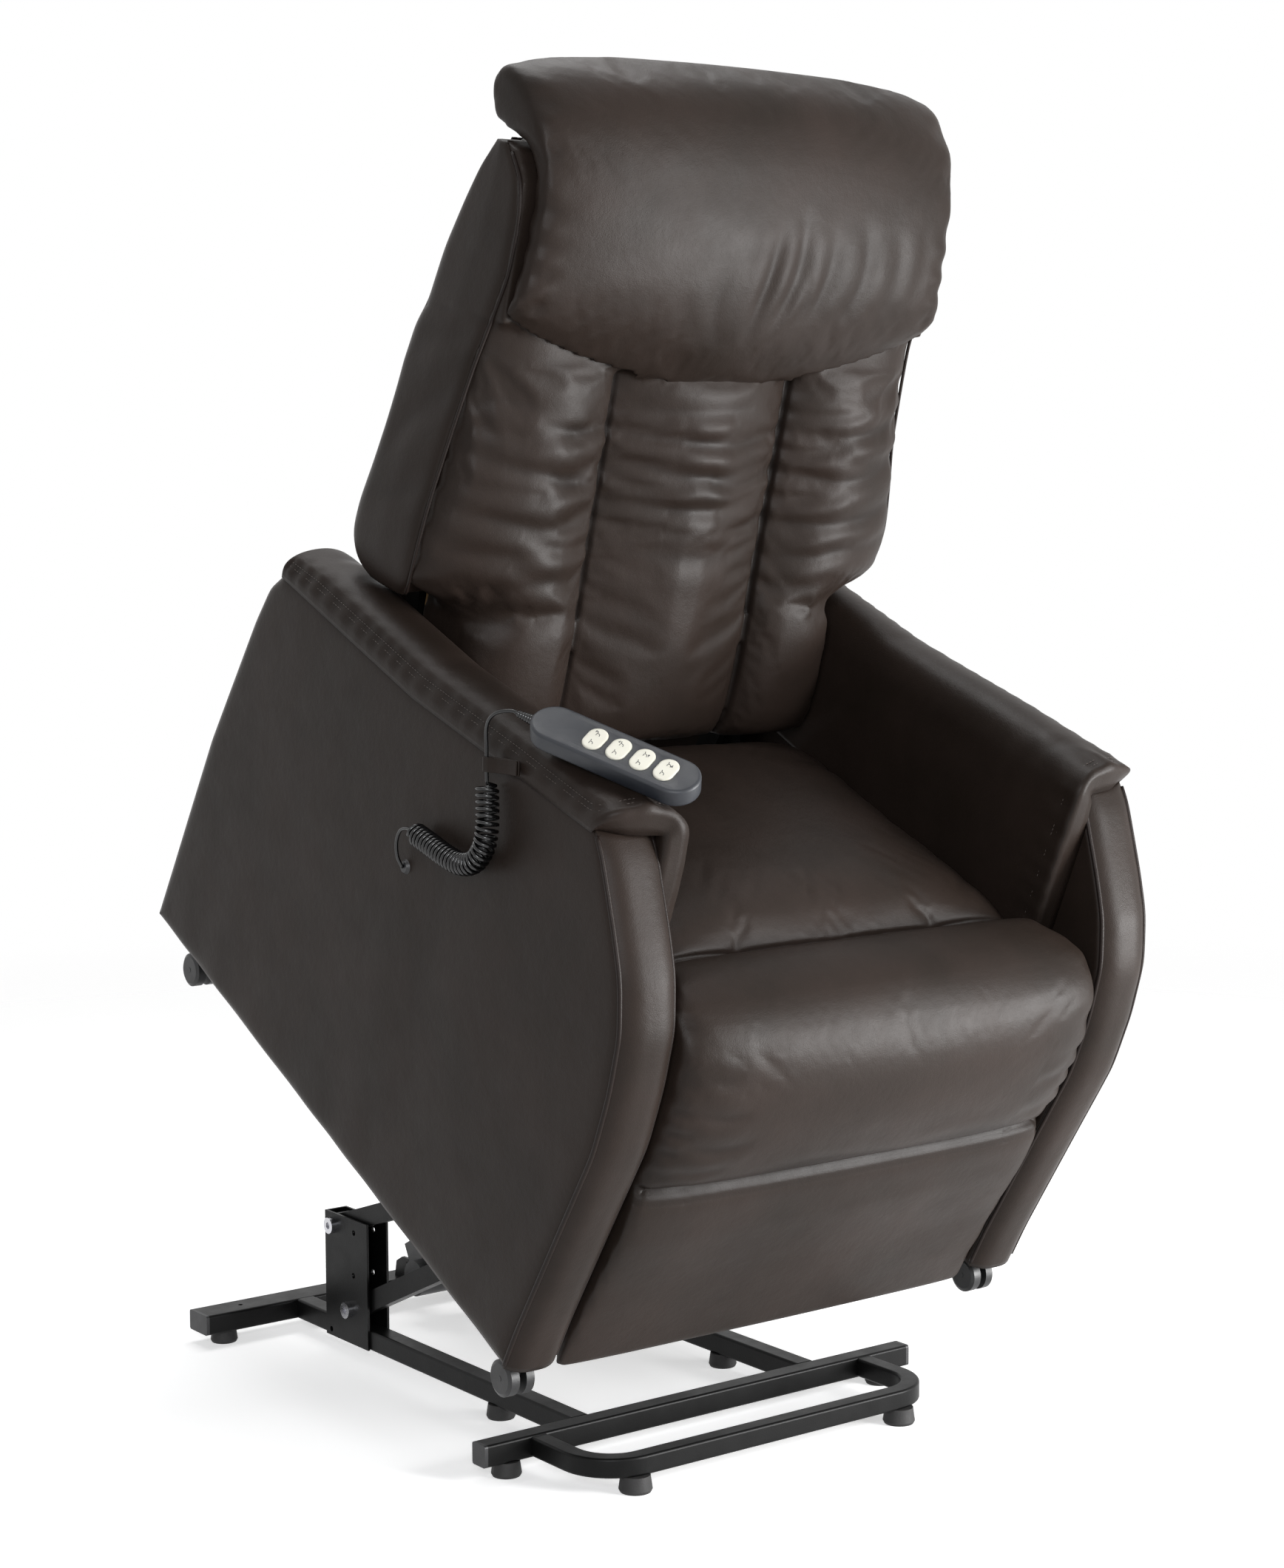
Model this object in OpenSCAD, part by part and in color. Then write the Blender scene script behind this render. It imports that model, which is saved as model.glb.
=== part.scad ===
// Lift recliner chair, drawn at rest with the seat raised and tipped forward.
// Units are millimetres, +Z is up, the chair faces -Y and the floor is Z = 0.
// Pieces of the seat are drawn in the chair frame: the chair lowered and level,
// Y = 0 at the front foot of the side panels. chair_pose() lifts that frame.

/* [Base frame] */
// Outer width of the two cross tubes
base_w = 610; // [560:5:660]
// Distance between the centre lines of the front and rear cross tubes
base_l = 630; // [600:5:680]
// Height of every base tube, and width of the square ones
tube = 25; // [22:1:28]
// Depth of the flat rear cross tube
rear_tube_d = 44; // [38:1:50]
// Wall of the base tubes
tube_wall = 2; // [1.5:0.5:3]
// Distance of each side rail from the middle
rail_x = 163; // [158:1:170]
// Height of the rubber feet
foot_h = 17; // [14:1:19]
// Diameter of the rubber feet
foot_d = 34; // [28:1:38]
// Outer width of the bent stabiliser bar
bar_w = 490; // [460:5:520]
// Reach of the stabiliser bar ahead of the front cross tube
bar_reach = 126; // [110:2:140]
// Width of the stabiliser bar's tube
bar_tube = 22; // [20:1:24]
// Inner bend radius of the stabiliser bar
bar_bend = 42; // [34:2:54]

/* [Lift posts] */
// Depth of a post, front to back
post_d = 98; // [90:2:110]
// Height of a post above the underside of the rail
post_h = 157; // [150:1:164]
// Plate thickness of a post
post_t = 3; // [2.5:0.5:4]
// Height of the lower arm pivot above the floor
low_pivot_z = 59; // [58:1:62]
// Height of the upper arm pivot above the floor
up_pivot_z = 158; // [154:1:160]
// Distance of the lower arm pivot behind the middle
low_pivot_y = 161; // [156:1:166]
// Distance of the upper arm pivot behind the middle
up_pivot_y = 198; // [194:1:200]

/* [Lift arms] */
// Pivot distance of the lower arms
low_arm_l = 480; // [470:2:490]
// Depth of an arm's tube
arm_h = 24; // [22:1:25]
// Width of an arm's tube
arm_t = 19; // [16:1:20]
// Slope of the lower arms with the chair raised
arm_raised = 25; // [22:0.5:28]
// Forward tip of the chair when raised
chair_tip = 27.4; // [25:0.2:29]
// Diameter of the arm pivot pins
pivot_d = 12; // [10:1:14]
// Radial play in a running pivot
play = 0.05; // [0.03:0.01:0.1]
// Radial room in a pivot that the linkage leaves open
open_play = 5; // [4.6:0.1:6]

/* [Seat body] */
// Overall width over the side panels
body_w = 716; // [690:2:740]
// Distance between the inner faces of the arm pads
seat_w = 524; // [500:2:540]
// Width of an arm's wooden box
box_w = 65; // [60:1:70]
// Ground clearance of the side panels with the chair lowered
skirt_z = 52; // [50:1:56]
// Wall of the arm boxes
box_wall = 15; // [12:1:18]
// Thickness of the rolled front facing
facing_t = 14; // [10:1:18]
// Height of the arm pad's crown above its outer seam
pad_crown = 40; // [34:1:46]
// Section of the seat frame's tubes
frame_tube = 25; // [22:1:28]
// Underside of the seat frame with the chair lowered
frame_z = 355; // [350:1:358]
// Gap left around each soft piece
soft_gap = 0.4; // [0.3:0.1:0.6]

/* [Castors] */
// Diameter of the castor wheels
castor_d = 40; // [36:1:42]
// Width of each castor wheel
castor_w = 13; // [11:1:14]
// Trail of the castor axle
castor_trail = 18; // [14:1:20]

/* [Backrest] */
// Backward slope of the upright backrest
back_slope = 11.3; // [10:0.1:13]
// Half width of the backrest at the pillow
back_half = 290; // [280:1:296]
// Extra half width of the wings just above the arms
wing_flare = 38; // [30:1:44]
// Height of the backrest above its hinge
back_h = 700; // [690:2:710]
// Depth of the crown of the back's channels
channel_crown = 36; // [28:1:40]
// Distance of each channel seam from the middle
channel_x = 120; // [110:1:130]

/* [Legrest] */
// Overall width of the legrest
leg_w = 566; // [540:2:572]
// Thickness of the legrest board
leg_board_t = 12; // [10:1:15]
// Length of the rear links of the legrest
leg_link_a = 165; // [160:1:170]
// Length of the front links of the legrest
leg_link_b = 160; // [156:1:165]

/* [Handset] */
// Length of the handset
hand_l = 188; // [178:1:195]
// Width of the handset
hand_w = 50; // [46:1:52]
// Thickness of the handset
hand_t = 21; // [18:1:24]
// Travel of each push button
button_travel = 1; // [0.6:0.1:1.2]
// Diameter of the handset's cord
cord_d = 4; // [3.6:0.2:4.4]
// Outer diameter of the curly part of the cord
curl_d = 25; // [22:1:28]
// Number of curls
curls = 33; // [24:1:34]

/* [Hidden] */
$fn = 48;

// Colours
black_paint = [0.06, 0.06, 0.07];
black_plastic = [0.08, 0.08, 0.09];
bright_steel = [0.78, 0.78, 0.8];
hide = [0.25, 0.2, 0.18];
wood_tone = [0.62, 0.47, 0.3];
web_tone = [0.2, 0.2, 0.2];
hand_tone = [0.12, 0.14, 0.19];

// ---- Shared functions -------------------------------------------------------

function mix(a, b, t) = a + (b - a) * t;
function flat(lists) = [for (list = lists) for (item = list) item];
function unit(v) = v / norm(v);
function reversed(list) = [for (i = [len(list) - 1:-1:0]) list[i]];

// Value at x of a line through [x, value] pairs in rising order of x
function along(pairs, x, i = 0) =
    i >= len(pairs) - 2 || x < pairs[i + 1][0]
    ? mix(pairs[i][1], pairs[i + 1][1],
          min(1, max(0, (x - pairs[i][0]) / (pairs[i + 1][0] - pairs[i][0]))))
    : along(pairs, x, i + 1);

// Catmull-Rom curve through points, with n steps between each two
function curve_at(a, b, c, d, t) =
    (2 * b + (c - a) * t + (2 * a - 5 * b + 4 * c - d) * t * t
     + (3 * b - a - 3 * c + d) * t * t * t) / 2;
function smooth(p, n) = concat(
    [for (i = [0:len(p) - 2]) for (k = [0:n - 1])
        curve_at(p[max(i - 1, 0)], p[i], p[i + 1], p[min(i + 2, len(p) - 1)], k / n)],
    [p[len(p) - 1]]);

// Point at a share t of a dense path's own length
function lengths(p, i = 1, run = [0]) =
    i >= len(p) ? run : lengths(p, i + 1, concat(run, [run[i - 1] + norm(p[i] - p[i - 1])]));
function point_at(p, run, s, i = 0) =
    i >= len(p) - 2 || s < run[i + 1]
    ? mix(p[i], p[i + 1], (s - run[i]) / (run[i + 1] - run[i]))
    : point_at(p, run, s, i + 1);

// Full crown in the middle that rolls down to nothing at -1 and 1
function crown(t) = pow(max(0, 1 - pow(abs(t), 6)), 1 / 3);
// Gentle crown of a sewn channel
function channel(t) = pow(max(0, 1 - pow(abs(t), 2.4)), 0.6);

// ---- Shared shapes ----------------------------------------------------------

// A flat outline in Y and Z, made solid from x0 to x1
module across(x0, x1)
    translate([x0, 0, 0])
    rotate([90, 0, 90])
    linear_extrude(height = x1 - x0)
        children();

module at(y, z)
    translate([0, y, z])
        children();

// Round bar along X
module bar_x(x0, x1, r)
    translate([x0, 0, 0])
    rotate([0, 90, 0])
        cylinder(h = x1 - x0, r = r);

module rounded(w, h, r) {
    square([w - 2 * r, h], center = true);
    square([w, h - 2 * r], center = true);
    for (x = [-1, 1], y = [-1, 1])
        translate([x * (w / 2 - r), y * (h / 2 - r)])
            circle(r = r, $fn = 32);
}

// Hollow tube along X, centred, with rounded corners
module box_tube(l, d, h)
    rotate([90, 0, 90])
    linear_extrude(height = l, center = true)
    difference() {
        rounded(d, h, tube_round);
        rounded(d - 2 * tube_wall, h - 2 * tube_wall, tube_round / 2);
    }

module on_both_sides() {
    children();
    mirror([1, 0, 0])
        children();
}

// Closed form between two grids of points; rows x columns points at the front
module quilt(front, back) {
    rows = len(front) - 1;
    cols = len(front[0]) - 1;
    function f(i, j) = i * (cols + 1) + j;
    function b(i, j) = (rows + 1) * (cols + 1) + f(i, j);
    function two(p, q, r, s) = [[p, q, r], [p, r, s]];
    faces = concat(
        [for (i = [0:rows - 1]) for (j = [0:cols - 1])
            each two(f(i, j), f(i, j + 1), f(i + 1, j + 1), f(i + 1, j))],
        [for (i = [0:rows - 1]) for (j = [0:cols - 1])
            each two(b(i, j), b(i + 1, j), b(i + 1, j + 1), b(i, j + 1))],
        [for (j = [0:cols - 1])
            each two(b(0, j), b(0, j + 1), f(0, j + 1), f(0, j))],
        [for (j = [0:cols - 1])
            each two(b(rows, j), f(rows, j), f(rows, j + 1), b(rows, j + 1))],
        [for (i = [0:rows - 1])
            each two(b(i, 0), f(i, 0), f(i + 1, 0), b(i + 1, 0))],
        [for (i = [0:rows - 1])
            each two(b(i, cols), b(i + 1, cols), f(i + 1, cols), f(i, cols))]);
    polyhedron(points = concat(flat(front), flat(back)), faces = faces);
}

// Tube along a path; side gives a direction off the path for each point
module sweep(path, side, r, sides) {
    last = len(path) - 1;
    function heading(i) = unit(path[min(i + 1, last)] - path[max(i - 1, 0)]);
    function ring(i) =
        let (t = heading(i), a = unit(cross(t, side[i])), b = cross(t, a))
        [for (k = [0:sides - 1])
            path[i] + r * (cos(360 * k / sides) * a + sin(360 * k / sides) * b)];
    function id(i, k) = i * sides + k % sides;
    polyhedron(
        points = flat([for (i = [0:last]) ring(i)]),
        faces = concat(
            [for (k = [1:sides - 2]) [0, k, k + 1]],
            [for (i = [0:last - 1]) for (k = [0:sides - 1])
                each [[id(i, k), id(i + 1, k), id(i + 1, k + 1)],
                      [id(i, k), id(i + 1, k + 1), id(i, k + 1)]]],
            [for (k = [1:sides - 2]) [id(last, 0), id(last, k + 1), id(last, k)]]));
}

// ---- Derived places ---------------------------------------------------------

tube_round = 3;
rear_y = base_l / 2;
front_y = -base_l / 2;
rail_top = foot_h + tube;
rear_tube_front = rear_y - rear_tube_d / 2;
rail_out = rail_x + tube / 2;
rail_in = rail_x - tube / 2;
post_front = low_pivot_y - 43;
post_web = post_front + post_d;
pivot_r = pivot_d / 2;

// Chair frame: the pins that carry the seat body
mount_y = 193;
mount_z = low_pivot_z;
mount_up_y = mount_y + 36.3;
mount_up_z = mount_z + 40.4;

// Lower arm's front pin, in the base frame, with the chair raised
carry_y = low_pivot_y - low_arm_l * cos(arm_raised);
carry_z = low_pivot_z + low_arm_l * sin(arm_raised);

// A chair frame point seen in the base frame
function lift(p) = [
    carry_y + (p[0] - mount_y) * cos(chair_tip) - (p[1] - mount_z) * sin(chair_tip),
    carry_z + (p[0] - mount_y) * sin(chair_tip) + (p[1] - mount_z) * cos(chair_tip)];

upper_pin = lift([mount_up_y, mount_up_z]);
upper_run = upper_pin - [up_pivot_y, up_pivot_z];
up_arm_l = norm(upper_run);
up_arm_slope = atan2(upper_run[1], -upper_run[0]);

// Outer seam along the top of an arm, in the chair frame
arm_top = [[117, 638], [452, 590], [745, 573]];
function seam_z(y) = along(arm_top, y);

// Handset on the left arm, its middle over the crest and how it is turned
hand_at = [-316, 168];
hand_rise = 16.2;
hand_yaw = 28;
hand_roll = 20;
hand_lean = 5;

// Rows of the legrest pad: [front y, z, back y, z, half width less half of leg_w]
leg_rows = [
    [81, 490, 80, 472, -26], [72, 503, 77, 450, -26], [52, 507, 60, 443, -26],
    [30, 507, 34, 442, -12], [-2, 500, 21, 441, 0], [-30, 484, 21.6, 430, 0],
    [-48, 458, 21.6, 415, 0], [-56, 424, 21.6, 395, 0], [-57, 384, 21.6, 372, 0],
    [-53, 340, 21.6, 335, 0], [-45, 304, 21.6, 304, 0], [-35, 286, 21.6, 286, -2],
    [-37, 264, 21.6, 264, 0], [-33, 219, 21.6, 219, 0], [-19, 149, 21.6, 149, 0],
    [-11, 92, 21.6, 92, 0], [-1, 33, 10, 33, 0]];
leg_swell = 3;

// Puts the middle of the raised chair's depth over the origin
front_end = min([for (r = leg_rows) lift([r[0] - (r[1] < 480 ? leg_swell : 0), r[1]])[0]]);
centre_y = -(front_end + rear_y + rear_tube_d / 2) / 2;

module based()
    translate([0, centre_y, 0])
        children();

module lifted()
    based()
    at(carry_y, carry_z)
    rotate([chair_tip, 0, 0])
    at(-mount_y, -mount_z)
        children();

// ---- Base frame -------------------------------------------------------------

cap_t = 4;
plug_l = 14;
fit_gap = 0.1;

module rear_cross_tube() color(black_paint) based()
    difference() {
        at(rear_y, foot_h + tube / 2)
            box_tube(base_w - 2 * cap_t, rear_tube_d, tube);
        for (x = [-1, 1])
            translate([x * (base_w / 2 - 60), rear_y, rail_top - tube_wall - 1])
                cylinder(h = tube_wall + 2, r = 3);
    }

module front_cross_tube() color(black_paint) based()
    at(front_y, foot_h + tube / 2)
        box_tube(base_w - 2 * cap_t, tube, tube);

rail_l = rear_tube_front - (front_y + tube / 2);

module side_rails() color(black_paint) based()
    for (side = [-1, 1])
        translate([side * rail_x, front_y + tube / 2 + rail_l / 2, foot_h + tube / 2])
        rotate([0, 0, 90])
            box_tube(rail_l, tube, tube);

bar_z = foot_h + tube / 2;
bar_front = front_y - bar_reach;
bar_in = bar_w / 2 - bar_tube;

module bar_section()
    difference() {
        rounded(bar_tube, bar_tube, tube_round);
        rounded(bar_tube - 2 * tube_wall, bar_tube - 2 * tube_wall, tube_round / 2);
    }

module stabiliser_bar() color(black_paint) based() {
    side_l = front_y - tube / 2 - (bar_front - bar_tube / 2 + bar_bend + bar_tube);
    on_both_sides() {
        translate([bar_in + bar_tube / 2, front_y - tube / 2, bar_z])
        rotate([90, 0, 0])
        linear_extrude(height = side_l)
            bar_section();
        translate([bar_in - bar_bend, bar_front + bar_tube / 2 + bar_bend, bar_z])
        rotate([0, 0, -90])
        rotate_extrude(angle = 90)
        translate([bar_bend + bar_tube / 2, 0])
            bar_section();
    }
    translate([0, bar_front, bar_z])
    rotate([90, 0, 90])
    linear_extrude(height = 2 * (bar_in - bar_bend), center = true)
        bar_section();
}

module end_cap(d) {
    across(0, cap_t)
        rounded(d, tube, tube_round);
    across(-plug_l, 0)
        rounded(d - 2 * tube_wall - 2 * fit_gap, tube - 2 * tube_wall - 2 * fit_gap, tube_round);
}

module tube_end_caps() color(black_plastic) based()
    on_both_sides() {
        translate([base_w / 2 - cap_t, rear_y, foot_h + tube / 2])
            end_cap(rear_tube_d);
        translate([base_w / 2 - cap_t, front_y, foot_h + tube / 2])
            end_cap(tube);
    }

foot_inset = 36;
rail_foot_y = front_y + 167;
bar_foot_x = 188;

module foot() {
    cylinder(h = 3, r1 = foot_d / 2 - 1.5, r2 = foot_d / 2);
    translate([0, 0, 3])
        cylinder(h = foot_h - 3, r1 = foot_d / 2, r2 = foot_d / 2 - 2);
}

module base_feet() color(black_plastic) based()
    on_both_sides() {
        translate([base_w / 2 - foot_inset, rear_y, 0])
            foot();
        translate([base_w / 2 - foot_inset, front_y, 0])
            foot();
        translate([rail_x, rail_foot_y, 0])
            foot();
        translate([bar_foot_x, bar_front, 0])
        scale((foot_h + tube / 2 - bar_tube / 2) / foot_h)
            foot();
    }

// ---- Lift posts -------------------------------------------------------------

post_top = foot_h + post_h;
inner_plate_z = foot_h + 13;

module drilled(y, z, r)
    at(y, z)
        bar_x(-base_w, base_w, r);

module lift_posts() color(black_paint) based()
    difference() {
        on_both_sides() {
            across(rail_out, rail_out + post_t)
                translate([post_front, foot_h])
                    square([post_d, post_h]);
            across(rail_in - post_t, rail_in)
                translate([post_front, inner_plate_z])
                    square([post_d, post_top - inner_plate_z]);
            across(rail_in, rail_out)
                translate([post_web - post_t, rail_top])
                    square([post_t, post_top - rail_top]);
        }
        drilled(low_pivot_y, low_pivot_z, pivot_r + play);
        drilled(up_pivot_y, up_pivot_z, pivot_r + play);
        drilled(post_front + 30, post_top - 16, 3.5);
        drilled(post_front + 32, post_top - 70, 3.5);
        on_both_sides()
            at(post_web - 12, foot_h + 8)
                bar_x(rail_out - 1, rail_out + post_t + 1, 3.5);
    }

bolt_head_r = 10;
bolt_head_t = 7;

// Socket head bolt along X from x0 outwards, head beyond x1
module bolt(x0, x1)
    difference() {
        union() {
            bar_x(x0, x1, pivot_r);
            bar_x(x1, x1 + bolt_head_t, bolt_head_r);
        }
        translate([x1 + bolt_head_t - 4, 0, 0])
        rotate([0, 90, 0])
            cylinder(h = 5, r = 4.6, $fn = 6);
    }

module nut(x1)
    translate([x1 - 8, 0, 0])
    rotate([0, 90, 0])
        cylinder(h = 8, r = 10, $fn = 6);

module post_pivot_bolts() color(bright_steel) based()
    on_both_sides() {
        at(low_pivot_y, low_pivot_z) {
            bolt(rail_in - post_t, rail_out + post_t);
            nut(rail_in - post_t);
        }
        at(up_pivot_y, up_pivot_z) {
            bolt(rail_in - post_t, rail_out + post_t);
            nut(rail_in - post_t);
        }
    }

// ---- Lift arms --------------------------------------------------------------

eye_r = 14;
eye_gap = 0.2;
arm_wall = 2.5;

// Arm from a pivot at the origin towards -Y; bores of radius r0 and r1
module arm(l, r0, r1)
    difference() {
        union() {
            across(-arm_t / 2, arm_t / 2)
                translate([-l + 6, -arm_h / 2])
                    square([l - 12, arm_h]);
            bar_x(-tube / 2 + eye_gap, tube / 2 - eye_gap, eye_r);
            at(-l, 0)
                bar_x(-arm_t / 2, arm_t / 2, eye_r + 1);
        }
        across(-arm_t / 2 + arm_wall, arm_t / 2 - arm_wall)
            translate([-l + 20, -arm_h / 2 + arm_wall])
                square([l - 40, arm_h - 2 * arm_wall]);
        bar_x(-tube, tube, r0);
        at(-l, 0)
            bar_x(-tube, tube, r1);
    }

module lower_arms() color(black_paint) based()
    on_both_sides()
        translate([rail_x, low_pivot_y, low_pivot_z])
        rotate([-arm_raised, 0, 0])
            arm(low_arm_l, pivot_r + play, pivot_r + play);

arm_tube_back = 100;
arm_tube_r = 10;

module lower_arm_cross_tube() color(black_paint) based()
    at(low_pivot_y, low_pivot_z)
    rotate([-arm_raised, 0, 0])
    at(-low_arm_l + arm_tube_back, 0)
    difference() {
        bar_x(-rail_x + arm_t / 2, rail_x - arm_t / 2, arm_tube_r);
        bar_x(-rail_x, rail_x, arm_tube_r - 2);
    }

module upper_arms() color(black_paint) based()
    on_both_sides()
        translate([rail_x, up_pivot_y, up_pivot_z])
        rotate([-up_arm_slope, 0, 0])
            arm(up_arm_l, pivot_r + play, pivot_r + open_play);

// ---- Linear actuators -------------------------------------------------------

motor_pin_r = 5;
motor_eye_w = 20;
rod_r = 9;
tube_half = 16;
can_r = 23;

// Motor, gearbox and guide tube; rear pivot at the origin, rod towards -Y
module actuator(guide_l, can_drop)
    difference() {
        union() {
            bar_x(-motor_eye_w / 2, motor_eye_w / 2, 12);
            across(-motor_eye_w / 2, motor_eye_w / 2)
                translate([-30, -12])
                    square([30, 24]);
            across(-28, 28)
                translate([-104, -24])
                    square([76, 48]);
            across(-tube_half, tube_half)
                translate([-guide_l, -tube_half])
                    square([guide_l - 104, 2 * tube_half]);
            at(-54, can_drop)
                bar_x(-44, 44, can_r);
        }
        bar_x(-motor_eye_w, motor_eye_w, motor_pin_r + play);
        at(-guide_l - 1, 0)
        rotate([-90, 0, 0])
            cylinder(h = guide_l - 119, r = rod_r + play);
    }

// Rod with its front eye; measured from the same rear pivot
module actuator_rod(start, reach, bore, eye_out)
    difference() {
        union() {
            at(-reach + eye_out / 2, 0)
            rotate([-90, 0, 0])
                cylinder(h = reach - eye_out / 2 - start, r = rod_r);
            at(-reach, 0)
                bar_x(-motor_eye_w / 2, motor_eye_w / 2, eye_out);
        }
        at(-reach, 0)
            bar_x(-motor_eye_w, motor_eye_w, bore);
    }

// Two ears with a pin between them; outline in Y and Z, pin at [0, 0]
module clevis(outline, pin) {
    on_both_sides()
        across(motor_eye_w / 2 + 2, motor_eye_w / 2 + 6)
            polygon(outline);
    bar_x(-motor_eye_w / 2 - 8, motor_eye_w / 2 + 8, pin);
}

lift_motor_y = rear_tube_front - 8;
lift_motor_z = rail_top + 18;
lift_pin = [mount_y + 59, mount_z + 61];
lift_run = lift(lift_pin) - [lift_motor_y, lift_motor_z];
lift_reach = norm(lift_run);
lift_slope = atan2(lift_run[1], -lift_run[0]);
lift_guide = 420;
lift_bore = motor_pin_r + open_play;

module actuator_clevis() color(black_paint) based()
    at(lift_motor_y, lift_motor_z)
        clevis([[8, -18], [30, -18], [26, 2], [12, 10], [-10, 10], [-13, 0], [-10, -9],
                [8, -13]], motor_pin_r);

module lift_motor() color(black_plastic) based()
    at(lift_motor_y, lift_motor_z)
    rotate([-lift_slope, 0, 0])
        actuator(lift_guide, -27);

module lift_rod() color(bright_steel) based()
    at(lift_motor_y, lift_motor_z)
    rotate([-lift_slope, 0, 0])
        actuator_rod(300, lift_reach, lift_bore, lift_bore + 6);

// ---- Seat frame, in the chair frame -----------------------------------------

box_in = body_w / 2 - box_w;
frame_top = frame_z + frame_tube;
plate_x = rail_in - 5.5;
plate_t = 5;
rail_from = 120;
rail_to = 760;
cross_y = [137, 205, 275, 520, 733];

hinge_y = 650;
hinge_z = frame_top + 45;
hinge_pin_r = 6;
member_x = 250;
member_t = 8;

leg_hinge_y = 150;
leg_hinge_z = frame_z - 25;
torque_r = 10;
hanger_x = 222;
hanger_t = 6;

leg_motor_x = -70;
leg_motor_y = 480;
leg_motor_z = 300;
back_motor_x = 70;
back_motor_y = 312;
back_motor_z = 330;
hanger_rise = 37;

module mount_frame() color(black_paint) lifted() {
    on_both_sides()
        across(plate_x - plate_t, plate_x)
            polygon([[mount_y - 15, mount_z], [mount_y - 9, mount_z - 11],
                     [mount_y, mount_z - 14], [mount_y + 11, mount_z - 10],
                     [mount_up_y + 12, mount_up_z - 12], [mount_up_y + 17, mount_up_z],
                     [mount_up_y + 21, mount_up_z + 40], [cross_y[2] + frame_tube, 250],
                     [cross_y[2] + frame_tube, frame_z], [cross_y[1] + 5, frame_z],
                     [cross_y[1] + 5, 250], [mount_y + 4, 150], [mount_y - 12, 85]]);
    translate([0, lift_pin[0], lift_pin[1] + hanger_rise])
        box_tube(2 * (plate_x - plate_t), frame_tube, frame_tube);
    at(lift_pin[0], lift_pin[1])
        clevis([[-10, hanger_rise - frame_tube / 2], [-10, -6], [-5, -11], [5, -11],
                [10, -6], [10, hanger_rise - frame_tube / 2]], motor_pin_r);
}

module mount_pins() color(bright_steel) lifted()
    on_both_sides() {
        at(mount_y, mount_z)
            bolt(plate_x, rail_x + arm_t / 2 + 1);
        at(mount_up_y, mount_up_z)
            bolt(plate_x, rail_x + arm_t / 2 + 1);
    }

module seat_rails() color(black_paint) lifted()
    on_both_sides() {
        translate([box_in - frame_tube / 2, (rail_from + rail_to) / 2,
                   frame_z + frame_tube / 2])
        rotate([0, 0, 90])
            box_tube(rail_to - rail_from, frame_tube, frame_tube);
        across(box_in - frame_tube, box_in - frame_tube + 5)
            polygon([[hinge_y - 40, frame_top], [hinge_y + 40, frame_top],
                     [hinge_y + 13, hinge_z + 12], [hinge_y - 13, hinge_z + 12]]);
        at(hinge_y, hinge_z) {
            bar_x(member_x - 2, box_in - frame_tube, hinge_pin_r);
            bar_x(member_x + member_t + 0.3, box_in - frame_tube, hinge_pin_r + 4);
        }
    }

module seat_cross_tubes() color(black_paint) lifted()
    difference() {
        union() {
            for (y = cross_y)
                at(y + frame_tube / 2, frame_z + frame_tube / 2)
                    box_tube(2 * (box_in - frame_tube), frame_tube, frame_tube);
            on_both_sides()
                across(hanger_x, hanger_x + hanger_t)
                    polygon([[leg_hinge_y - 13, frame_z], [leg_hinge_y + 12, frame_z],
                             [leg_hinge_y + 16, leg_hinge_z - 6],
                             [leg_hinge_y + 8, leg_hinge_z - 16],
                             [leg_hinge_y - 8, leg_hinge_z - 16],
                             [leg_hinge_y - 16, leg_hinge_z - 6]]);
            translate([leg_motor_x, leg_motor_y, leg_motor_z])
                clevis([[-8, -10], [8, -10], [cross_y[3] + frame_tube - leg_motor_y,
                         frame_z - leg_motor_z], [cross_y[3] - leg_motor_y,
                         frame_z - leg_motor_z], [-8, 12]], motor_pin_r);
            translate([back_motor_x, back_motor_y, back_motor_z])
                clevis([[-6, -10], [8, -10], [12, 0], [8, 12],
                        [cross_y[2] + frame_tube - back_motor_y, frame_z - back_motor_z],
                        [cross_y[2] - back_motor_y, frame_z - back_motor_z]],
                       motor_pin_r);
        }
        at(leg_hinge_y, leg_hinge_z)
            bar_x(-box_in, box_in, torque_r + play);
    }

seat_from = 86;
seat_to = 520;
strap_t = 3;
strap_w = 42;
strap_count = 4;
seat_bottom = frame_top + strap_t + soft_gap;
seat_front_z = 500;
seat_rear_z = 462;
seat_crown = 16;

module seat_webbing() color(web_tone) lifted()
    for (i = [0:strap_count - 1])
        translate([0, mix(rail_from + 40, seat_to - 30, i / (strap_count - 1)),
                   frame_top + strap_t / 2])
            cube([2 * box_in - 2, strap_w, strap_t], center = true);

edge_steps = [-1, -0.97, -0.88, -0.7, -0.4, 0, 0.4, 0.7, 0.88, 0.97, 1];

function seat_point(s, t, face) =
    let (half = seat_w / 2 - soft_gap - 3 * (1 - pow(abs(t), 4)),
         y = mix(seat_from + 2 * (1 - s * s), seat_to, (t + 1) / 2),
         rim = mix(seat_front_z, seat_rear_z, (t + 1) / 2) - 14,
         middle = mix(seat_bottom, rim, 0.62),
         roll = crown(s) * crown(t),
         swell = seat_crown * (1 - pow(abs(s), 2.5)) * (1 - pow(abs(t), 4)))
    face > 0
    ? [half * s, y, mix(middle, rim + 14, roll) + swell]
    : [half * s, y, mix(middle - 3, seat_bottom, roll)];

module seat_cushion() color(hide) lifted()
    quilt([for (s = edge_steps) [for (t = edge_steps) seat_point(s, t, 1)]],
          [for (s = edge_steps) [for (t = edge_steps) seat_point(s, t, -1)]]);

// ---- Arms, in the chair frame -----------------------------------------------

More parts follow.
